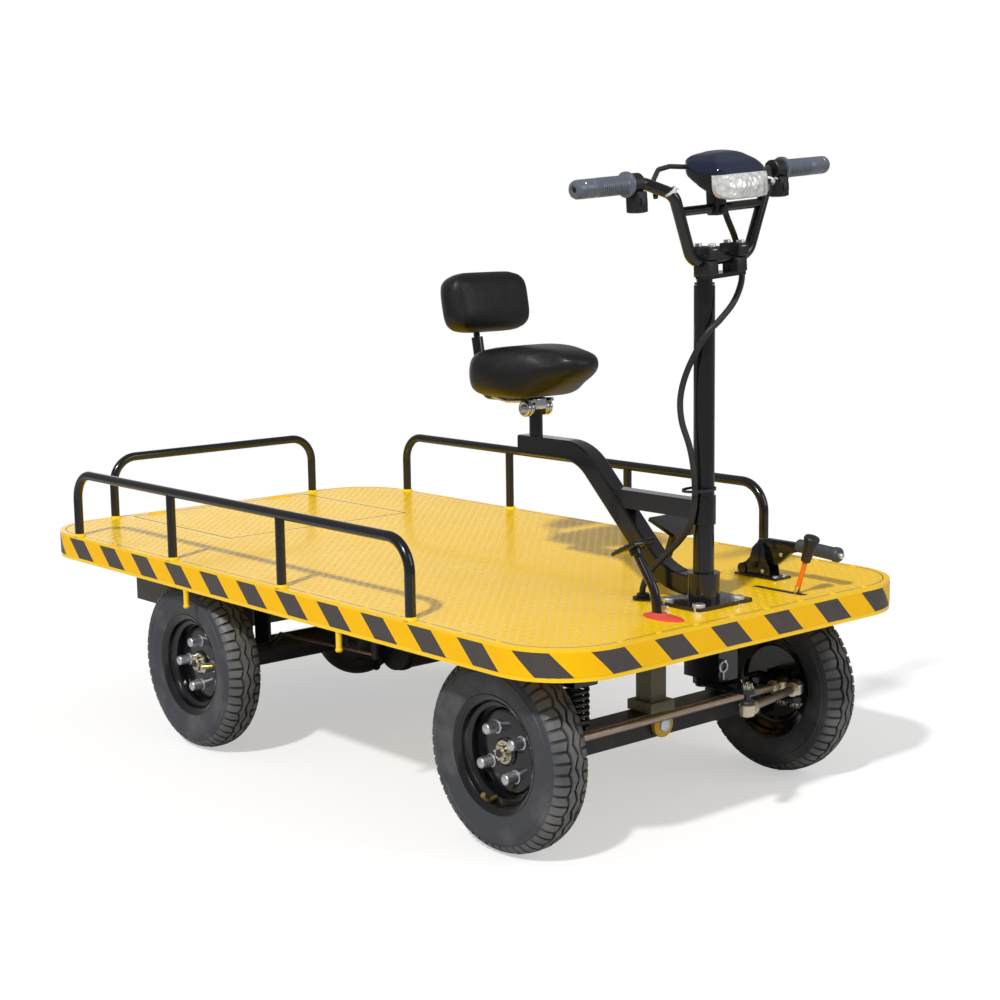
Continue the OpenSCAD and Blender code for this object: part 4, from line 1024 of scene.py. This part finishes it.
lens = copy_of(form)
editing(lens, "FACE", lambda face: not lens_part(face))
bpy.ops.mesh.delete(type="FACE")
leave()
modify(lens, "SOLIDIFY", thickness=LENS_T * MM, offset=1)
done(on_bar(lens), "lamp_lens", lens_glare_finish(), "steering", ["headlamp_lens"], 60)
shell = form
editing(shell, "FACE", lens_part)
bpy.ops.mesh.delete(type="FACE")
bpy.ops.mesh.select_all(action="SELECT")
bpy.ops.mesh.fill_holes(sides=0)
leave()
shell.data.materials.clear()
for finish in (shell_blue, moulded_black):
    shell.data.materials.append(finish)
for face in shell.data.polygons:
    seam = SEAM_TAIL * MM - SEAM_FALL * (face.center.x - LAMP_TAIL * MM)
    face.material_index = 0 if face.center.z > seam else 1
done(on_bar(shell), "lamp_shell", None, "steering", ["headlamp"], 60)
clip = block((BAR_X - 8, -24, CROSS_Z - 13), (BAR_X + 20, 4, LAMP_Z + 42), 4, 3)
screw_section = [(0, -9), (7, -9), (8, -7), (8, 7), (7, 9), (0, 9)]
screw = aim(lathe(screw_section, 16), (BAR_X + 20, -10, CROSS_Z - 2), (1, 0, 0))
done(on_bar(join([clip, screw])), "lamp_clip", moulded_black, "steering")
wire_bends = [(816, -44, 1254), (806, -84, 1258), (800, -108, 1254), (806, -128, 1236), (822, -140, 1206)]
done(on_bar(tube(rounded(wire_bends, 12), 4.6, 3)), "lamp_wire", cable_rubber, "steering")
print("lamp made")

# %% [markdown]
# ## Saddle and backrest
# Both are foam in a tight vinyl cover. A copy of the solid is remeshed in even cells and blown up a
# little by the Cloth simulation, with no gravity, so the cover bulges between its edges as foam makes
# it. The move is capped, and one subdivision smooths the result.

# %% Saddle and backrest
CUSHION_FRAMES = 20
CELL, MOST_BULGE, FILL = 6.0, 7, 0.85
COVER_PRESSURE, COVER_STIFF, COVER_BEND = 4.0, 22, 8


def cushion(name, soften):
    """Copy of a solid, rounded, fitted to the solid's box again and blown up a little."""
    piece = merged_copy(name)
    low, high = (Vector(corner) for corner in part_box(name))
    modify(piece, "REMESH", mode="VOXEL", voxel_size=CELL * MM)
    modify(piece, "SMOOTH", factor=0.5, iterations=soften)
    spots = [corner.co for corner in piece.data.vertices]
    least = Vector([min(spot[k] for spot in spots) for k in range(3)])
    largest = Vector([max(spot[k] for spot in spots) for k in range(3)])
    for corner in piece.data.vertices:
        share = [(corner.co[k] - least[k]) / (largest[k] - least[k]) for k in range(3)]
        corner.co = [low[k] + share[k] * (high[k] - low[k]) for k in range(3)]
    before = [corner.co.copy() for corner in piece.data.vertices]
    step = piece.modifiers.new("Cover", "CLOTH")
    cloth = step.settings
    cloth.use_pressure = True
    cloth.uniform_pressure_force = COVER_PRESSURE
    cloth.tension_stiffness = COVER_STIFF
    cloth.compression_stiffness = COVER_STIFF
    cloth.bending_stiffness = COVER_BEND
    cloth.effector_weights.gravity = 0
    step.point_cache.frame_start, step.point_cache.frame_end = 1, CUSHION_FRAMES
    scene = bpy.context.scene
    for frame_number in range(1, CUSHION_FRAMES + 1):
        scene.frame_set(frame_number)
    solo(piece)
    bpy.ops.object.modifier_apply(modifier=step.name)
    scene.frame_set(1)
    for corner, start in zip(piece.data.vertices, before):
        move = corner.co - start
        if move.length > MOST_BULGE * MM:
            corner.co = start + move.normalized() * MOST_BULGE * MM
    return modify(piece, "SUBSURF", levels=1, render_levels=1)


for name, soften in (("saddle", 110), ("backrest", 40)):
    pad = done(cushion(name, soften), name + "_cover", seat_vinyl, "chassis", [name], 70)

# %% [markdown]
# ## Seat clamp
# Under the saddle a chromed bolt carries pairs of rings that grip the saddle's rails. A ring is a
# torus, and the rails are bent wire.

# %% Seat clamp
SEAT_X, CLAMP_Z, CLAMP_RING_R, CLAMP_WIRE_R = 328, 775, 13, 4.6
rings = []
for y in (-30, -20, 20, 30):
    fresh()
    bpy.ops.mesh.primitive_torus_add(major_radius=CLAMP_RING_R * MM, minor_radius=CLAMP_WIRE_R * MM,
                                     major_segments=28, minor_segments=12, rotation=(math.pi / 2, 0, 0),
                                     location=(SEAT_X * MM, y * MM, CLAMP_Z * MM))
    rings.append(settle(bpy.context.object))
rings.append(tube([(SEAT_X, -41, CLAMP_Z), (SEAT_X, 41, CLAMP_Z)], 5.5))
rings.append(set_out(hex_bolt(15, 6), [((SEAT_X, s * 36, CLAMP_Z), (0, s, 0)) for s in (-1, 1)]))
rings.append(block((SEAT_X - 19, -15, CLAMP_Z - 3), (SEAT_X + 19, 15, CLAMP_Z + 22), 4, 3))
for s in (-1, 1):
    wire = rounded([(SEAT_X - 104, s * 27, 793), (SEAT_X - 60, s * 25, 786), (SEAT_X + 24, s * 25, 792)], 30)
    rings.append(tube(wire, 4))
done(join(rings), "clamp_rings", chrome, "chassis", ["seat_clamp"])

# %% [markdown]
# ## Backrest bracket and pedal
# The backrest stands on a bent tube. The brake pedal is a bent tube too, with a ribbed rubber pad, and
# comes up through a soft red boot that is pressed flat on the deck and swells round the tube.

# %% Backrest bracket and pedal
back_path = rounded([(308, 0, 789), (166, 0, 789), (136, 0, 949.3)], 20)
sleeve_path = [(152, 0, 864), (143, 0, 912)]
bracket = join([tube(back_path, 7, 5), tube(sleeve_path, 12.5, 5)])
done(bracket, "back_tube", black_gloss, "chassis", ["backrest_bracket"])

PEDAL_X, PEDAL_Y, HANG_Z, BOOT_X = 830, -150, 401, 840
pedal_head = (765, PEDAL_Y, 557)
arm = tube(rounded([(PEDAL_X, PEDAL_Y, HANG_Z - 4), (818, PEDAL_Y, 483), pedal_head], 60), 9, 5)
pad = block((-34, -31, -4), (34, 31, 4), 2.5, 3)
ribs = [block((-27 + 13.5 * k, -27, 3.5), (-20 + 13.5 * k, 27, 6.5), 1.2) for k in range(5)]
boss = lathe([(0, -16), (10, -16), (12, -14), (12, -3), (0, -3)], 20)
plate = join([pad, boss] + ribs)
plate.rotation_euler.y = math.radians(-25)
plate.location = Vector(pedal_head) * MM


def hanging(x, y, half):
    """Pin under the deck with an ear at each end, on which a lever hangs."""
    pieces = [tube([(x, y - half, HANG_Z), (x, y + half, HANG_Z)], 6)]
    for ear_y in (y - half + 2, y + half - 2):
        pieces.append(block((x - 10, ear_y - 2.5, HANG_Z - 12), (x + 10, ear_y + 2.5, HANG_Z + 30), 1))
    return pieces


pedal = join([arm, settle(plate)] + hanging(PEDAL_X, PEDAL_Y, 24))
done(pedal, "pedal_arm", black_gloss, "chassis", ["brake_pedal"])

boot_section = [(10, 1), (44, 0), (44.5, 1.5), (42, 3), (27, 4.4), (19, 6.4), (15, 8.6), (12.5, 9), (10, 8)]
boot = lathe(boot_section, 48)
boot.scale = (1.08, 0.5, 1.0)
boot.location = (BOOT_X * MM, PEDAL_Y * MM, DECK_TOP * MM)
settle(boot)
editing(boot, "VERT", lambda corner: corner.co.z > (DECK_TOP + 4.2) * MM)
boot_neck = ((BOOT_X - 16) * MM, PEDAL_Y * MM, DECK_TOP * MM)
bpy.ops.transform.resize(value=(0.95, 1.5, 1), center_override=boot_neck)
bpy.ops.transform.translate(value=(-13 * MM, 0, 0))
leave()
done(boot, "soft_boot", boot_rubber, "chassis", ["pedal_boot"], 50)

# %% [markdown]
# ## Hand brake and selector
# The hand brake is folded plate: two cheeks on a foot, a pin and a round stop between them, and a flat
# lever that ends in a ribbed grip with a push button. Each plate is a circle primitive whose corners are
# moved to the outline, then extruded. The selector is an orange rod with a tapered knob, and a dark
# strip laid in the slot that it moves in is painted shade, for the dark inside of the slot.

# %% Hand brake and selector
def cut_plate(outline, thick):
    """Plate from a closed outline of (x, z) in millimetres, its thickness along Y."""
    fresh()
    bpy.ops.mesh.primitive_circle_add(vertices=len(outline), radius=1, fill_type="NGON")
    piece = bpy.context.object
    for corner, (x, z) in zip(piece.data.vertices, outline):
        corner.co = (x * MM, -thick / 2 * MM, z * MM)
    editing(piece, "FACE")
    bpy.ops.mesh.extrude_region_move(TRANSFORM_OT_translate={"value": (0, thick * MM, 0)})
    leave()
    return modify(piece, "BEVEL", width=0.7 * MM, segments=2, limit_method="ANGLE")


HAND_X, HAND_Y, FOOT_T = 700, 276, 5
cheek = [(-40, 4), (-42, 14), (-36, 24), (-24, 30), (-14, 40), (-8, 60), (2, 70), (14, 70), (22, 60),
         (26, 44), (34, 26), (38, 4)]
lever = [(-8, 62), (0, 76), (20, 80), (108, 80), (112, 76), (110, 64), (84, 58), (62, 40), (44, 28),
         (30, 32), (8, 50)]
parts = [block((-50, -24, 0), (62, 24, FOOT_T), 1.5)]
for s in (-1, 1):
    side = cut_plate(cheek, 3.5)
    side.location.y = s * 15 * MM
    parts.append(settle(side))
parts += [cut_plate(lever, 14), tube([(96, 0, 73), (112, 0, 72)], 11, 5)]
parts += [tube([(0, -22, 25), (0, 22, 25)], 6), tube([(-34, -19, 14), (-34, 19, 14)], 11, 5)]
hand_foot = Vector((HAND_X, HAND_Y, DECK_TOP))
brake = join(parts)
brake.location = hand_foot * MM
done(brake, "park_brake", black_gloss, "chassis", ["hand_brake"])
ribbed = [(0, 0), (12, 0), (13.4, 1.5), (13.4, 14)]
for k in range(9):
    z = 16 + 7 * k
    ribbed += [(12.4, z), (12.4, z + 2), (13.4, z + 3), (13.4, z + 6)]
ribbed += [(13.4, 90), (15, 92), (15, 101), (13, 104), (0, 104)]
grip_way = (1, 0, -0.06)
grip = aim(lathe(ribbed, 32), hand_foot + Vector((100, 0, 75)), grip_way)
done(grip, "brake_grip", lever_rubber, "chassis")
push_section = [(0, 0), (6, 0), (6, 6), (5, 8.5), (0, 9)]
push = aim(lathe(push_section, 20), hand_foot + Vector((203, 0, 68.5)), grip_way)
rivet_spots = ((60, -7, 52), (-4, -16.5, 26), (20, -16.5, 14))
rivets = set_out(lathe([(0, 0), (4.6, 0), (4.2, 1.6), (2.6, 2.6), (0, 3)], 14),
                 [(hand_foot + Vector(spot), (0, -1, 0)) for spot in rivet_spots])
foot_bolts = set_out(hex_bolt(11, 6), [(hand_foot + Vector((dx, dy, FOOT_T)), (0, 0, 1))
                                       for dx, dy in ((52, -14), (-44, -14), (52, 14))])
done(join([push, rivets, foot_bolts]), "brake_fittings", zinc, "chassis")

SEL_X, SEL_Y, SEL_LEAN, SEL_R = 853, 193, 46, 5
SLOT_X, SLOT_L, SLOT_W = SEL_X - 31, 132, 20
sel_foot, sel_head = Vector((SEL_X, SEL_Y, HANG_Z - 4)), Vector((SEL_X + SEL_LEAN, SEL_Y, DECK_TOP + 102))
sel_way = (sel_head - sel_foot).normalized()
shaft = tube([sel_foot, sel_head - sel_way * 20], SEL_R, 5)
done(join([shaft] + hanging(SEL_X, SEL_Y, 20)), "selector_rod", lever_orange, "chassis",
     ["selector_lever"])
collar = tube([sel_foot + sel_way * 41, sel_foot + sel_way * 55], SEL_R + 0.6, 5)
done(collar, "selector_collar", chrome, "chassis")
knob_section = [(0, -38), (8.8, -38), (9.6, -36), (13.4, -2), (15.6, 8), (15.6, 11), (14, 14), (9, 15.6),
                (0, 16)]
knob = aim(lathe(knob_section, 32), sel_head, sel_way)
done(knob, "selector_knob", moulded_black, "chassis", (), 50)
# Painted shade: a dark strip just under the deck top stands in for the shadow inside the selector slot.
slot_shade = block((SLOT_X - SLOT_L / 2, SEL_Y - SLOT_W / 2, DECK_TOP - 3.8),
             (SLOT_X + SLOT_L / 2, SEL_Y + SLOT_W / 2, DECK_TOP - 1), 1)
done(slot_shade, "slot_shade_strip", cable_rubber, "chassis")

# %% [markdown]
# ## Control cable
# The wires from the bar run in one black sheath. It is free between the lamp and the deck, and goes back
# into the truck. Its points are the solid's route, joined by a smooth curve. Its upper end turns with the
# bar and its lower end stays.

# %% Control cable
COLUMN_X, CABLE_R, BLEND_LOW, BLEND_HIGH = 800, 6, 700, 1030
cable_offsets = [(33, 10, 787), (30, 12, 761), (24, 34, 725), (15, 66, 687), (12, 82, 650), (24, 76, 611),
                 (38, 40, 571), (38, 0, 537), (28, -26, 511), (-4, -38, 450), (-21, -41, 398),
                 (-19, -41, 352), (-4, -36, 305), (3, -33, 269), (6, -31, 225), (4, -31, 185),
                 (-8, -32, 149), (-36, -34, 115), (-76, -38, 79), (-98, -47, 51), (-106, -56, 23),
                 (-106, -56, 2)]
route = [Vector((COLUMN_X + x, y, DECK_TOP + z)) for x, y, z in cable_offsets]


def flowing(points, steps):
    """Smooth line through points, steps to each span."""
    line = []
    for i in range(len(points) - 1):
        a, b, c, d = (points[max(0, min(len(points) - 1, i + k))] for k in (-1, 0, 1, 2))
        for k in range(steps):
            t = k / steps
            curve = (c - a) * t + (2 * a - 5 * b + 4 * c - d) * t * t + (3 * b - a - 3 * c + d) * t ** 3
            line.append(b + 0.5 * curve)
    return line + [points[-1]]


sheath_line = flowing(route, 6)
sheath_length = sum((b - a).length for a, b in zip(sheath_line, sheath_line[1:])) * MM
sheath = done(tube(sheath_line, CABLE_R, 4), "cable_sheath", cable_rubber, None,
              ["control_cable"], 60)
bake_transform(sheath)
[p * MM for p in sheath_line]
print("cable", round(sheath_length, 3), "m")

# %% [markdown]
# ## Column fittings and welds
# Four plated bolts hold the column's base plate. Every hoop leg is welded to the deck, and the bead was
# painted over in yellow.

# %% Column fittings and welds
REST_X, REST_Y, REST_T, REST_BOLT_R = 590, 100, 5, 18
HOOP_LEGS_X, HOOP_Y, REAR_HOOP_X, REAR_HOOP_Y = (-741, -320, 101, 522), 489, -913, 298
PEGS_X, PEG_Y, PEG_LOW, STRAP_Z = (-262, 300), 494, 336, 655
base_bolts = set_out(hex_bolt(22, 13, 2.4), [((COLUMN_X + dx, dy, DECK_TOP + 8), (0, 0, 1))
                                             for dx in (-34, 46) for dy in (-62, 46)])
done(base_bolts, "base_bolts", zinc, "chassis")
rest_spots = []
for turn in (0.5, 2.6, 4.7):
    x, y = REST_X + REST_BOLT_R * math.cos(turn), REST_Y + REST_BOLT_R * math.sin(turn)
    rest_spots.append(((x, y, DECK_TOP + REST_T), (0, 0, 1)))
rest_bolts = set_out(hex_bolt(10, 6), rest_spots)
done(rest_bolts, "rest_bolts", zinc, "chassis")
legs = [(x, s * HOOP_Y) for x in HOOP_LEGS_X for s in (-1, 1)]
legs += [(REAR_HOOP_X, s * REAR_HOOP_Y) for s in (-1, 1)]
rail_welds = set_out(lathe([(10.4, 0), (15.5, 0), (14, 2.2), (11.6, 4.6), (10.4, 5)], 24),
                     [((x, y, DECK_TOP), (0, 0, 1)) for x, y in legs])
done(rail_welds, "rail_welds", deck_yellow, "chassis", (), 60)
peg_beads = set_out(lathe([(0, 0), (5.4, 0), (7.4, 2), (7.4, 5), (5.6, 8), (0, 8)], 20),
                    [((x, s * PEG_Y, PEG_LOW), (0, 0, 1)) for x in PEGS_X for s in (-1, 1)])
done(peg_beads, "peg_beads", deck_yellow, "chassis", (), 60)
strap = lathe([(1, -2.5), (1.05, -2.5), (1.05, 2.5), (1, 2.5)], 32)
strap.scale = (24, 37, 1)
strap.location = Vector((COLUMN_X + 2, -15, STRAP_Z)) * MM
done(strap, "cable_strap", cable_rubber, "chassis")

# %% [markdown]
# ## Front axle
# The beam hangs on a bolt in a yellow bush, and two coil springs steady it. A spring is a helix swept
# with a round wire. The steering links are brown steel rods with lock nuts and plated ball joints, each
# with a rubber cap, a slotted nut and a split pin.

# %% Front axle
FRONT_X, BEAM_Z = 660, 175
bush_section = [(11, 0), (25, 0), (26, 1.5), (26, 10), (23, 12), (11, 12)]
bush = aim(lathe(bush_section, 36), (FRONT_X + 25.2, 0, BEAM_Z), (1, 0, 0))
done(bush, "pivot_bush", bush_yellow, "chassis")
pivot = aim(hex_bolt(27, 10, 3), (FRONT_X + 37, 0, BEAM_Z), (1, 0, 0))
done(pivot, "pivot_bolt", zinc, "chassis")

COIL_TURNS, COIL_R, COIL_LOW, COIL_HIGH, COIL_STEPS = 6.5, 23.5, 204.5, 281.5, 156
SPRING_Y, SEAT_HALF, SEAT_LOW, SEAT_HIGH = 205, 32, 286, 386
coils = []
for s in (-1, 1):
    helix = []
    for k in range(COIL_STEPS + 1):
        turn, share = math.tau * COIL_TURNS * k / COIL_STEPS, k / COIL_STEPS
        helix.append((FRONT_X + COIL_R * math.cos(turn), s * SPRING_Y + COIL_R * math.sin(turn),
                      COIL_LOW + (COIL_HIGH - COIL_LOW) * share))
    coils.append(tube(helix, 5, 3))
    coils.append(block((FRONT_X - SEAT_HALF, s * SPRING_Y - SEAT_HALF, SEAT_LOW),
                       (FRONT_X + SEAT_HALF, s * SPRING_Y + SEAT_HALF, SEAT_HIGH), 4))
done(join(coils), "wound_springs", black_gloss, "chassis", ["front_springs"], 60)


def joint_cup():
    """Ball joint housing about Z, its middle at the origin, with a rounded floor and a rolled lip."""
    section = [(0, -14), (10, -14), (13.4, -12), (14.6, -9), (14.6, 4), (15.6, 5.5), (15.6, 8), (13.6, 9.5),
               (0, 9.5)]
    return lathe(section, 32)


def steering_link(name, body, a, b):
    """Rod between two ball joints, which lie at a and b with their caps up."""
    way = (b - a).normalized()
    inward = ((a, way), (b, -way))
    bar = tube([e + w * NECK_L for e, w in inward], 8.4, 5)
    done(bar, name + "_bar", brown_steel, body, [body])
    necks = [tube([e + w * 12, e + w * (NECK_L + 6)], 6.4, 4) for e, w in inward]
    nuts = set_out(hex_bolt(19, 7, 0.4), [(e + w * NECK_L, w) for e, w in inward])
    cups = set_out(joint_cup(), [(e, (0, 0, 1)) for e in (a, b)])
    done(join(necks + [nuts, cups]), name + "_joints", gold_zinc, body)
    caps = set_out(lathe([(0, 0), (13, 0), (13.6, 2), (11, 6), (8, 8.5), (0, 9)], 28),
                   [(e + Vector((0, 0, 9.4)), (0, 0, 1)) for e in (a, b)])
    done(caps, name + "_caps", cable_rubber, body, (), 60)


KINGPIN_Y, TRACK_X, DRAG_X, ARM_Z, NECK_L = 306, 737, 772, 208, 34
DROP_X, DROP_JOINT_Z, DROP_NUT_Z, ARM_NUT_Z = 912, 249, 290.2, 177.8
steering_link("track", "track_rod", *(Vector((TRACK_X, s * KINGPIN_Y, ARM_Z)) for s in (-1, 1)))
steering_link("drag", "drag_link", Vector((DROP_X, 0, DROP_JOINT_Z)), Vector((DRAG_X, KINGPIN_Y, ARM_Z)))
done(castle_nut(11, 13, (DROP_X, 0, DROP_NUT_Z), (0, 0, 1)), "drop_nut", gold_zinc, "steering")
for side, name, joints in ((-1, "right", (TRACK_X,)), (1, "left", (TRACK_X, DRAG_X))):
    under = [castle_nut(10.4, 12, (x, side * KINGPIN_Y, ARM_NUT_Z), (0, 0, -1)) for x in joints]
    done(join(under), "arm_nuts_" + name, gold_zinc, "knuckle_" + name)

RING_X, RING_Y, RING_Z, RING_R = 867, -16, 325, 10
fresh()
bpy.ops.mesh.primitive_torus_add(major_radius=RING_R * MM, minor_radius=1.6 * MM, major_segments=28,
                                 minor_segments=10, location=Vector((RING_X, RING_Y, RING_Z)) * MM,
                                 rotation=(0, math.pi / 2, 0))
ring_pin = [settle(bpy.context.object)]
ring_pin.append(tube([(RING_X + dx, RING_Y, RING_Z + RING_R + 1) for dx in (-5, 5)], 3, 3))
ring_pin.append(tube([(RING_X, RING_Y, RING_Z - RING_R - dz) for dz in (0, 15)], 1.4, 3))
done(join(ring_pin), "ring_pin", zinc, "chassis")

# %% [markdown]
# ## Rear axle
# Under the deck a thin brown rod works the rear brakes, from a hanger on a cross member to a lever on
# the axle. The differential carries a cover with a ring of bolts, and the motor has bands and a
# terminal box.

# %% Rear axle
REAR_X, CASE_Y, COVER_BOLTS, COVER_BOLT_R = -330, 10, 8, 70
ROD_Y, ROD_REAR, ROD_FRONT, CROSS_LOW = -250, (-264, 238), (87, 251), 386
rod = tube([(x, ROD_Y, z) for x, z in (ROD_REAR, ROD_FRONT)], 3, 4)
done(rod, "brake_rod", brown_steel, "chassis")
rod_lever = tube([(REAR_X + 24, ROD_Y, AXLE_Z + 18), (ROD_REAR[0], ROD_Y, ROD_REAR[1])], 6, 4)
rod_hanger = block((ROD_FRONT[0] - 8, ROD_Y - 4, ROD_FRONT[1] - 9),
                   (ROD_FRONT[0] + 8, ROD_Y + 4, CROSS_LOW + 1), 1.5)
done(join([rod_lever, rod_hanger]), "rod_mounts", black_satin, "chassis")
cover_section = [(0, 0), (66, 0), (74, -6), (74, 4), (66, 8), (40, 14), (0, 17)]
cover = aim(lathe(cover_section, 40), (REAR_X + 70, CASE_Y, AXLE_Z), (1, 0, -0.1))
done(cover, "case_cover", black_satin, "chassis")
ring = []
for k in range(COVER_BOLTS):
    turn = math.tau * k / COVER_BOLTS
    y, z = CASE_Y + COVER_BOLT_R * math.cos(turn), AXLE_Z + COVER_BOLT_R * math.sin(turn) - 1
    ring.append(((REAR_X + 78, y, z), (1, 0, 0)))
done(set_out(hex_bolt(12, 6), ring), "cover_bolts", black_satin, "chassis")
MOTOR_X, MOTOR_Z = REAR_X + 125, AXLE_Z - 10
band_section = [(61, -7), (64, -7), (65, -5), (65, 5), (64, 7), (61, 7)]
bands = [aim(lathe(band_section, 40), (MOTOR_X, y, MOTOR_Z), (0, 1, 0)) for y in (40, 190)]
bands.append(block((MOTOR_X - 25, 90, MOTOR_Z + 58), (MOTOR_X + 25, 150, MOTOR_Z + 78), 4))
done(join(bands), "motor_bands", black_satin, "chassis")

# %% [markdown]
# ## Floor and light
# The truck stands in front of white. The floor is a pale disc that fades out, so it keeps the shadow
# and has no edge. A low sun throws the shadow, a broad lamp fills from the front, and a dim sky lights
# the rest. To a shiny surface the sky is bright in one direction only, which keeps the blacks black.

# %% Stage
FLOOR_R, FADE_FROM, FADE_OVER = 9.0, 2.2, 2.6
FLOOR_GREY, FLOOR_LIFT = 0.55, 0.49
SKY_STRENGTH, SKY_DARK, SKY_BRIGHT = 0.4, 0.25, 1.05
BRIGHT_WAY, HAZE_EDGE, HAZE_CORE = (-0.93, 0.365, 0), 0.87, 0.97


def floor_finish():
    f = Finish("floor_pale")
    where = f.node("ShaderNodeTexCoord", out=3)
    away = f.node("ShaderNodeVectorMath", {"operation": "LENGTH"}, {0: where}, out=1)
    fade = ((away - FADE_FROM) / FADE_OVER).clamp()
    matt = f.node("ShaderNodeBsdfDiffuse", None, {"Color": (FLOOR_GREY, FLOOR_GREY, FLOOR_GREY, 1)})
    seen = f.node("ShaderNodeLightPath")
    glow = f.node("ShaderNodeEmission", None, {"Strength": seen * FLOOR_LIFT})
    pale = f.node("ShaderNodeAddShader", None, {0: matt, 1: glow})
    clear = f.node("ShaderNodeBsdfTransparent")
    f.node_output(f.node("ShaderNodeMixShader", None, {0: fade, 1: pale, 2: clear}))
    return f.material


fresh()
bpy.ops.mesh.primitive_circle_add(vertices=96, radius=FLOOR_R, fill_type="NGON", location=(0, 0, -0.0005))
floor = bpy.context.object
floor.name = "floor"
floor.data.materials.append(floor_finish())


def lamp(kind, name, place, target, size, power):
    bpy.ops.object.light_add(type=kind, location=place)
    light = bpy.context.object
    light.name = name
    if kind == "SUN":
        light.data.angle = math.radians(size)
    else:
        light.data.size = size
    light.data.energy = power
    light.rotation_euler = (Vector(target) - Vector(place)).to_track_quat("-Z", "Y").to_euler()


lamp("SUN", "sun_low", place=(1.7, -3.8, 4.2), target=(0, 0, 0), size=3.5, power=2.7)
lamp("AREA", "fill_front", place=(4.2, 1.6, 2.6), target=(0.2, 0, 0.5), size=2.5, power=42)

world = bpy.data.worlds.new("pale_sky")
bpy.context.scene.world = world
world.use_nodes = True
sky = world.node_tree
sky.nodes.clear()


def sky_node(kind, settings, sockets):
    made = sky.nodes.new(kind)
    for key, value in settings.items():
        setattr(made, key, value)
    for key, value in sockets.items():
        if isinstance(value, bpy.types.NodeSocket):
            sky.links.new(value, made.inputs[key])
        else:
            made.inputs[key].default_value = value
    return made


path = sky_node("ShaderNodeLightPath", {}, {})
way = sky_node("ShaderNodeTexCoord", {}, {})
facing = sky_node("ShaderNodeVectorMath", {"operation": "DOT_PRODUCT"},
                  {0: way.outputs["Generated"], 1: BRIGHT_WAY})
haze = sky_node("ShaderNodeMapRange", {}, {0: facing.outputs["Value"], 1: HAZE_EDGE, 2: HAZE_CORE,
                                           3: SKY_DARK, 4: SKY_BRIGHT})
shiny = sky_node("ShaderNodeMath", {"operation": "MAXIMUM"},
                 {0: path.outputs["Is Glossy Ray"], 1: path.outputs["Is Transmission Ray"]})
lit = sky_node("ShaderNodeMix", {}, {0: shiny.outputs[0], 2: SKY_STRENGTH, 3: haze.outputs[0]})
seen = sky_node("ShaderNodeMix", {}, {0: path.outputs["Is Camera Ray"], 2: lit.outputs[0], 3: 1.0})
glow = sky_node("ShaderNodeBackground", {}, {"Color": (1, 1, 1, 1), "Strength": seen.outputs[0]})
sky_node("ShaderNodeOutputWorld", {}, {"Surface": glow.outputs[0]})
bpy.context.scene.view_settings.view_transform = "Standard"
print("stage set")
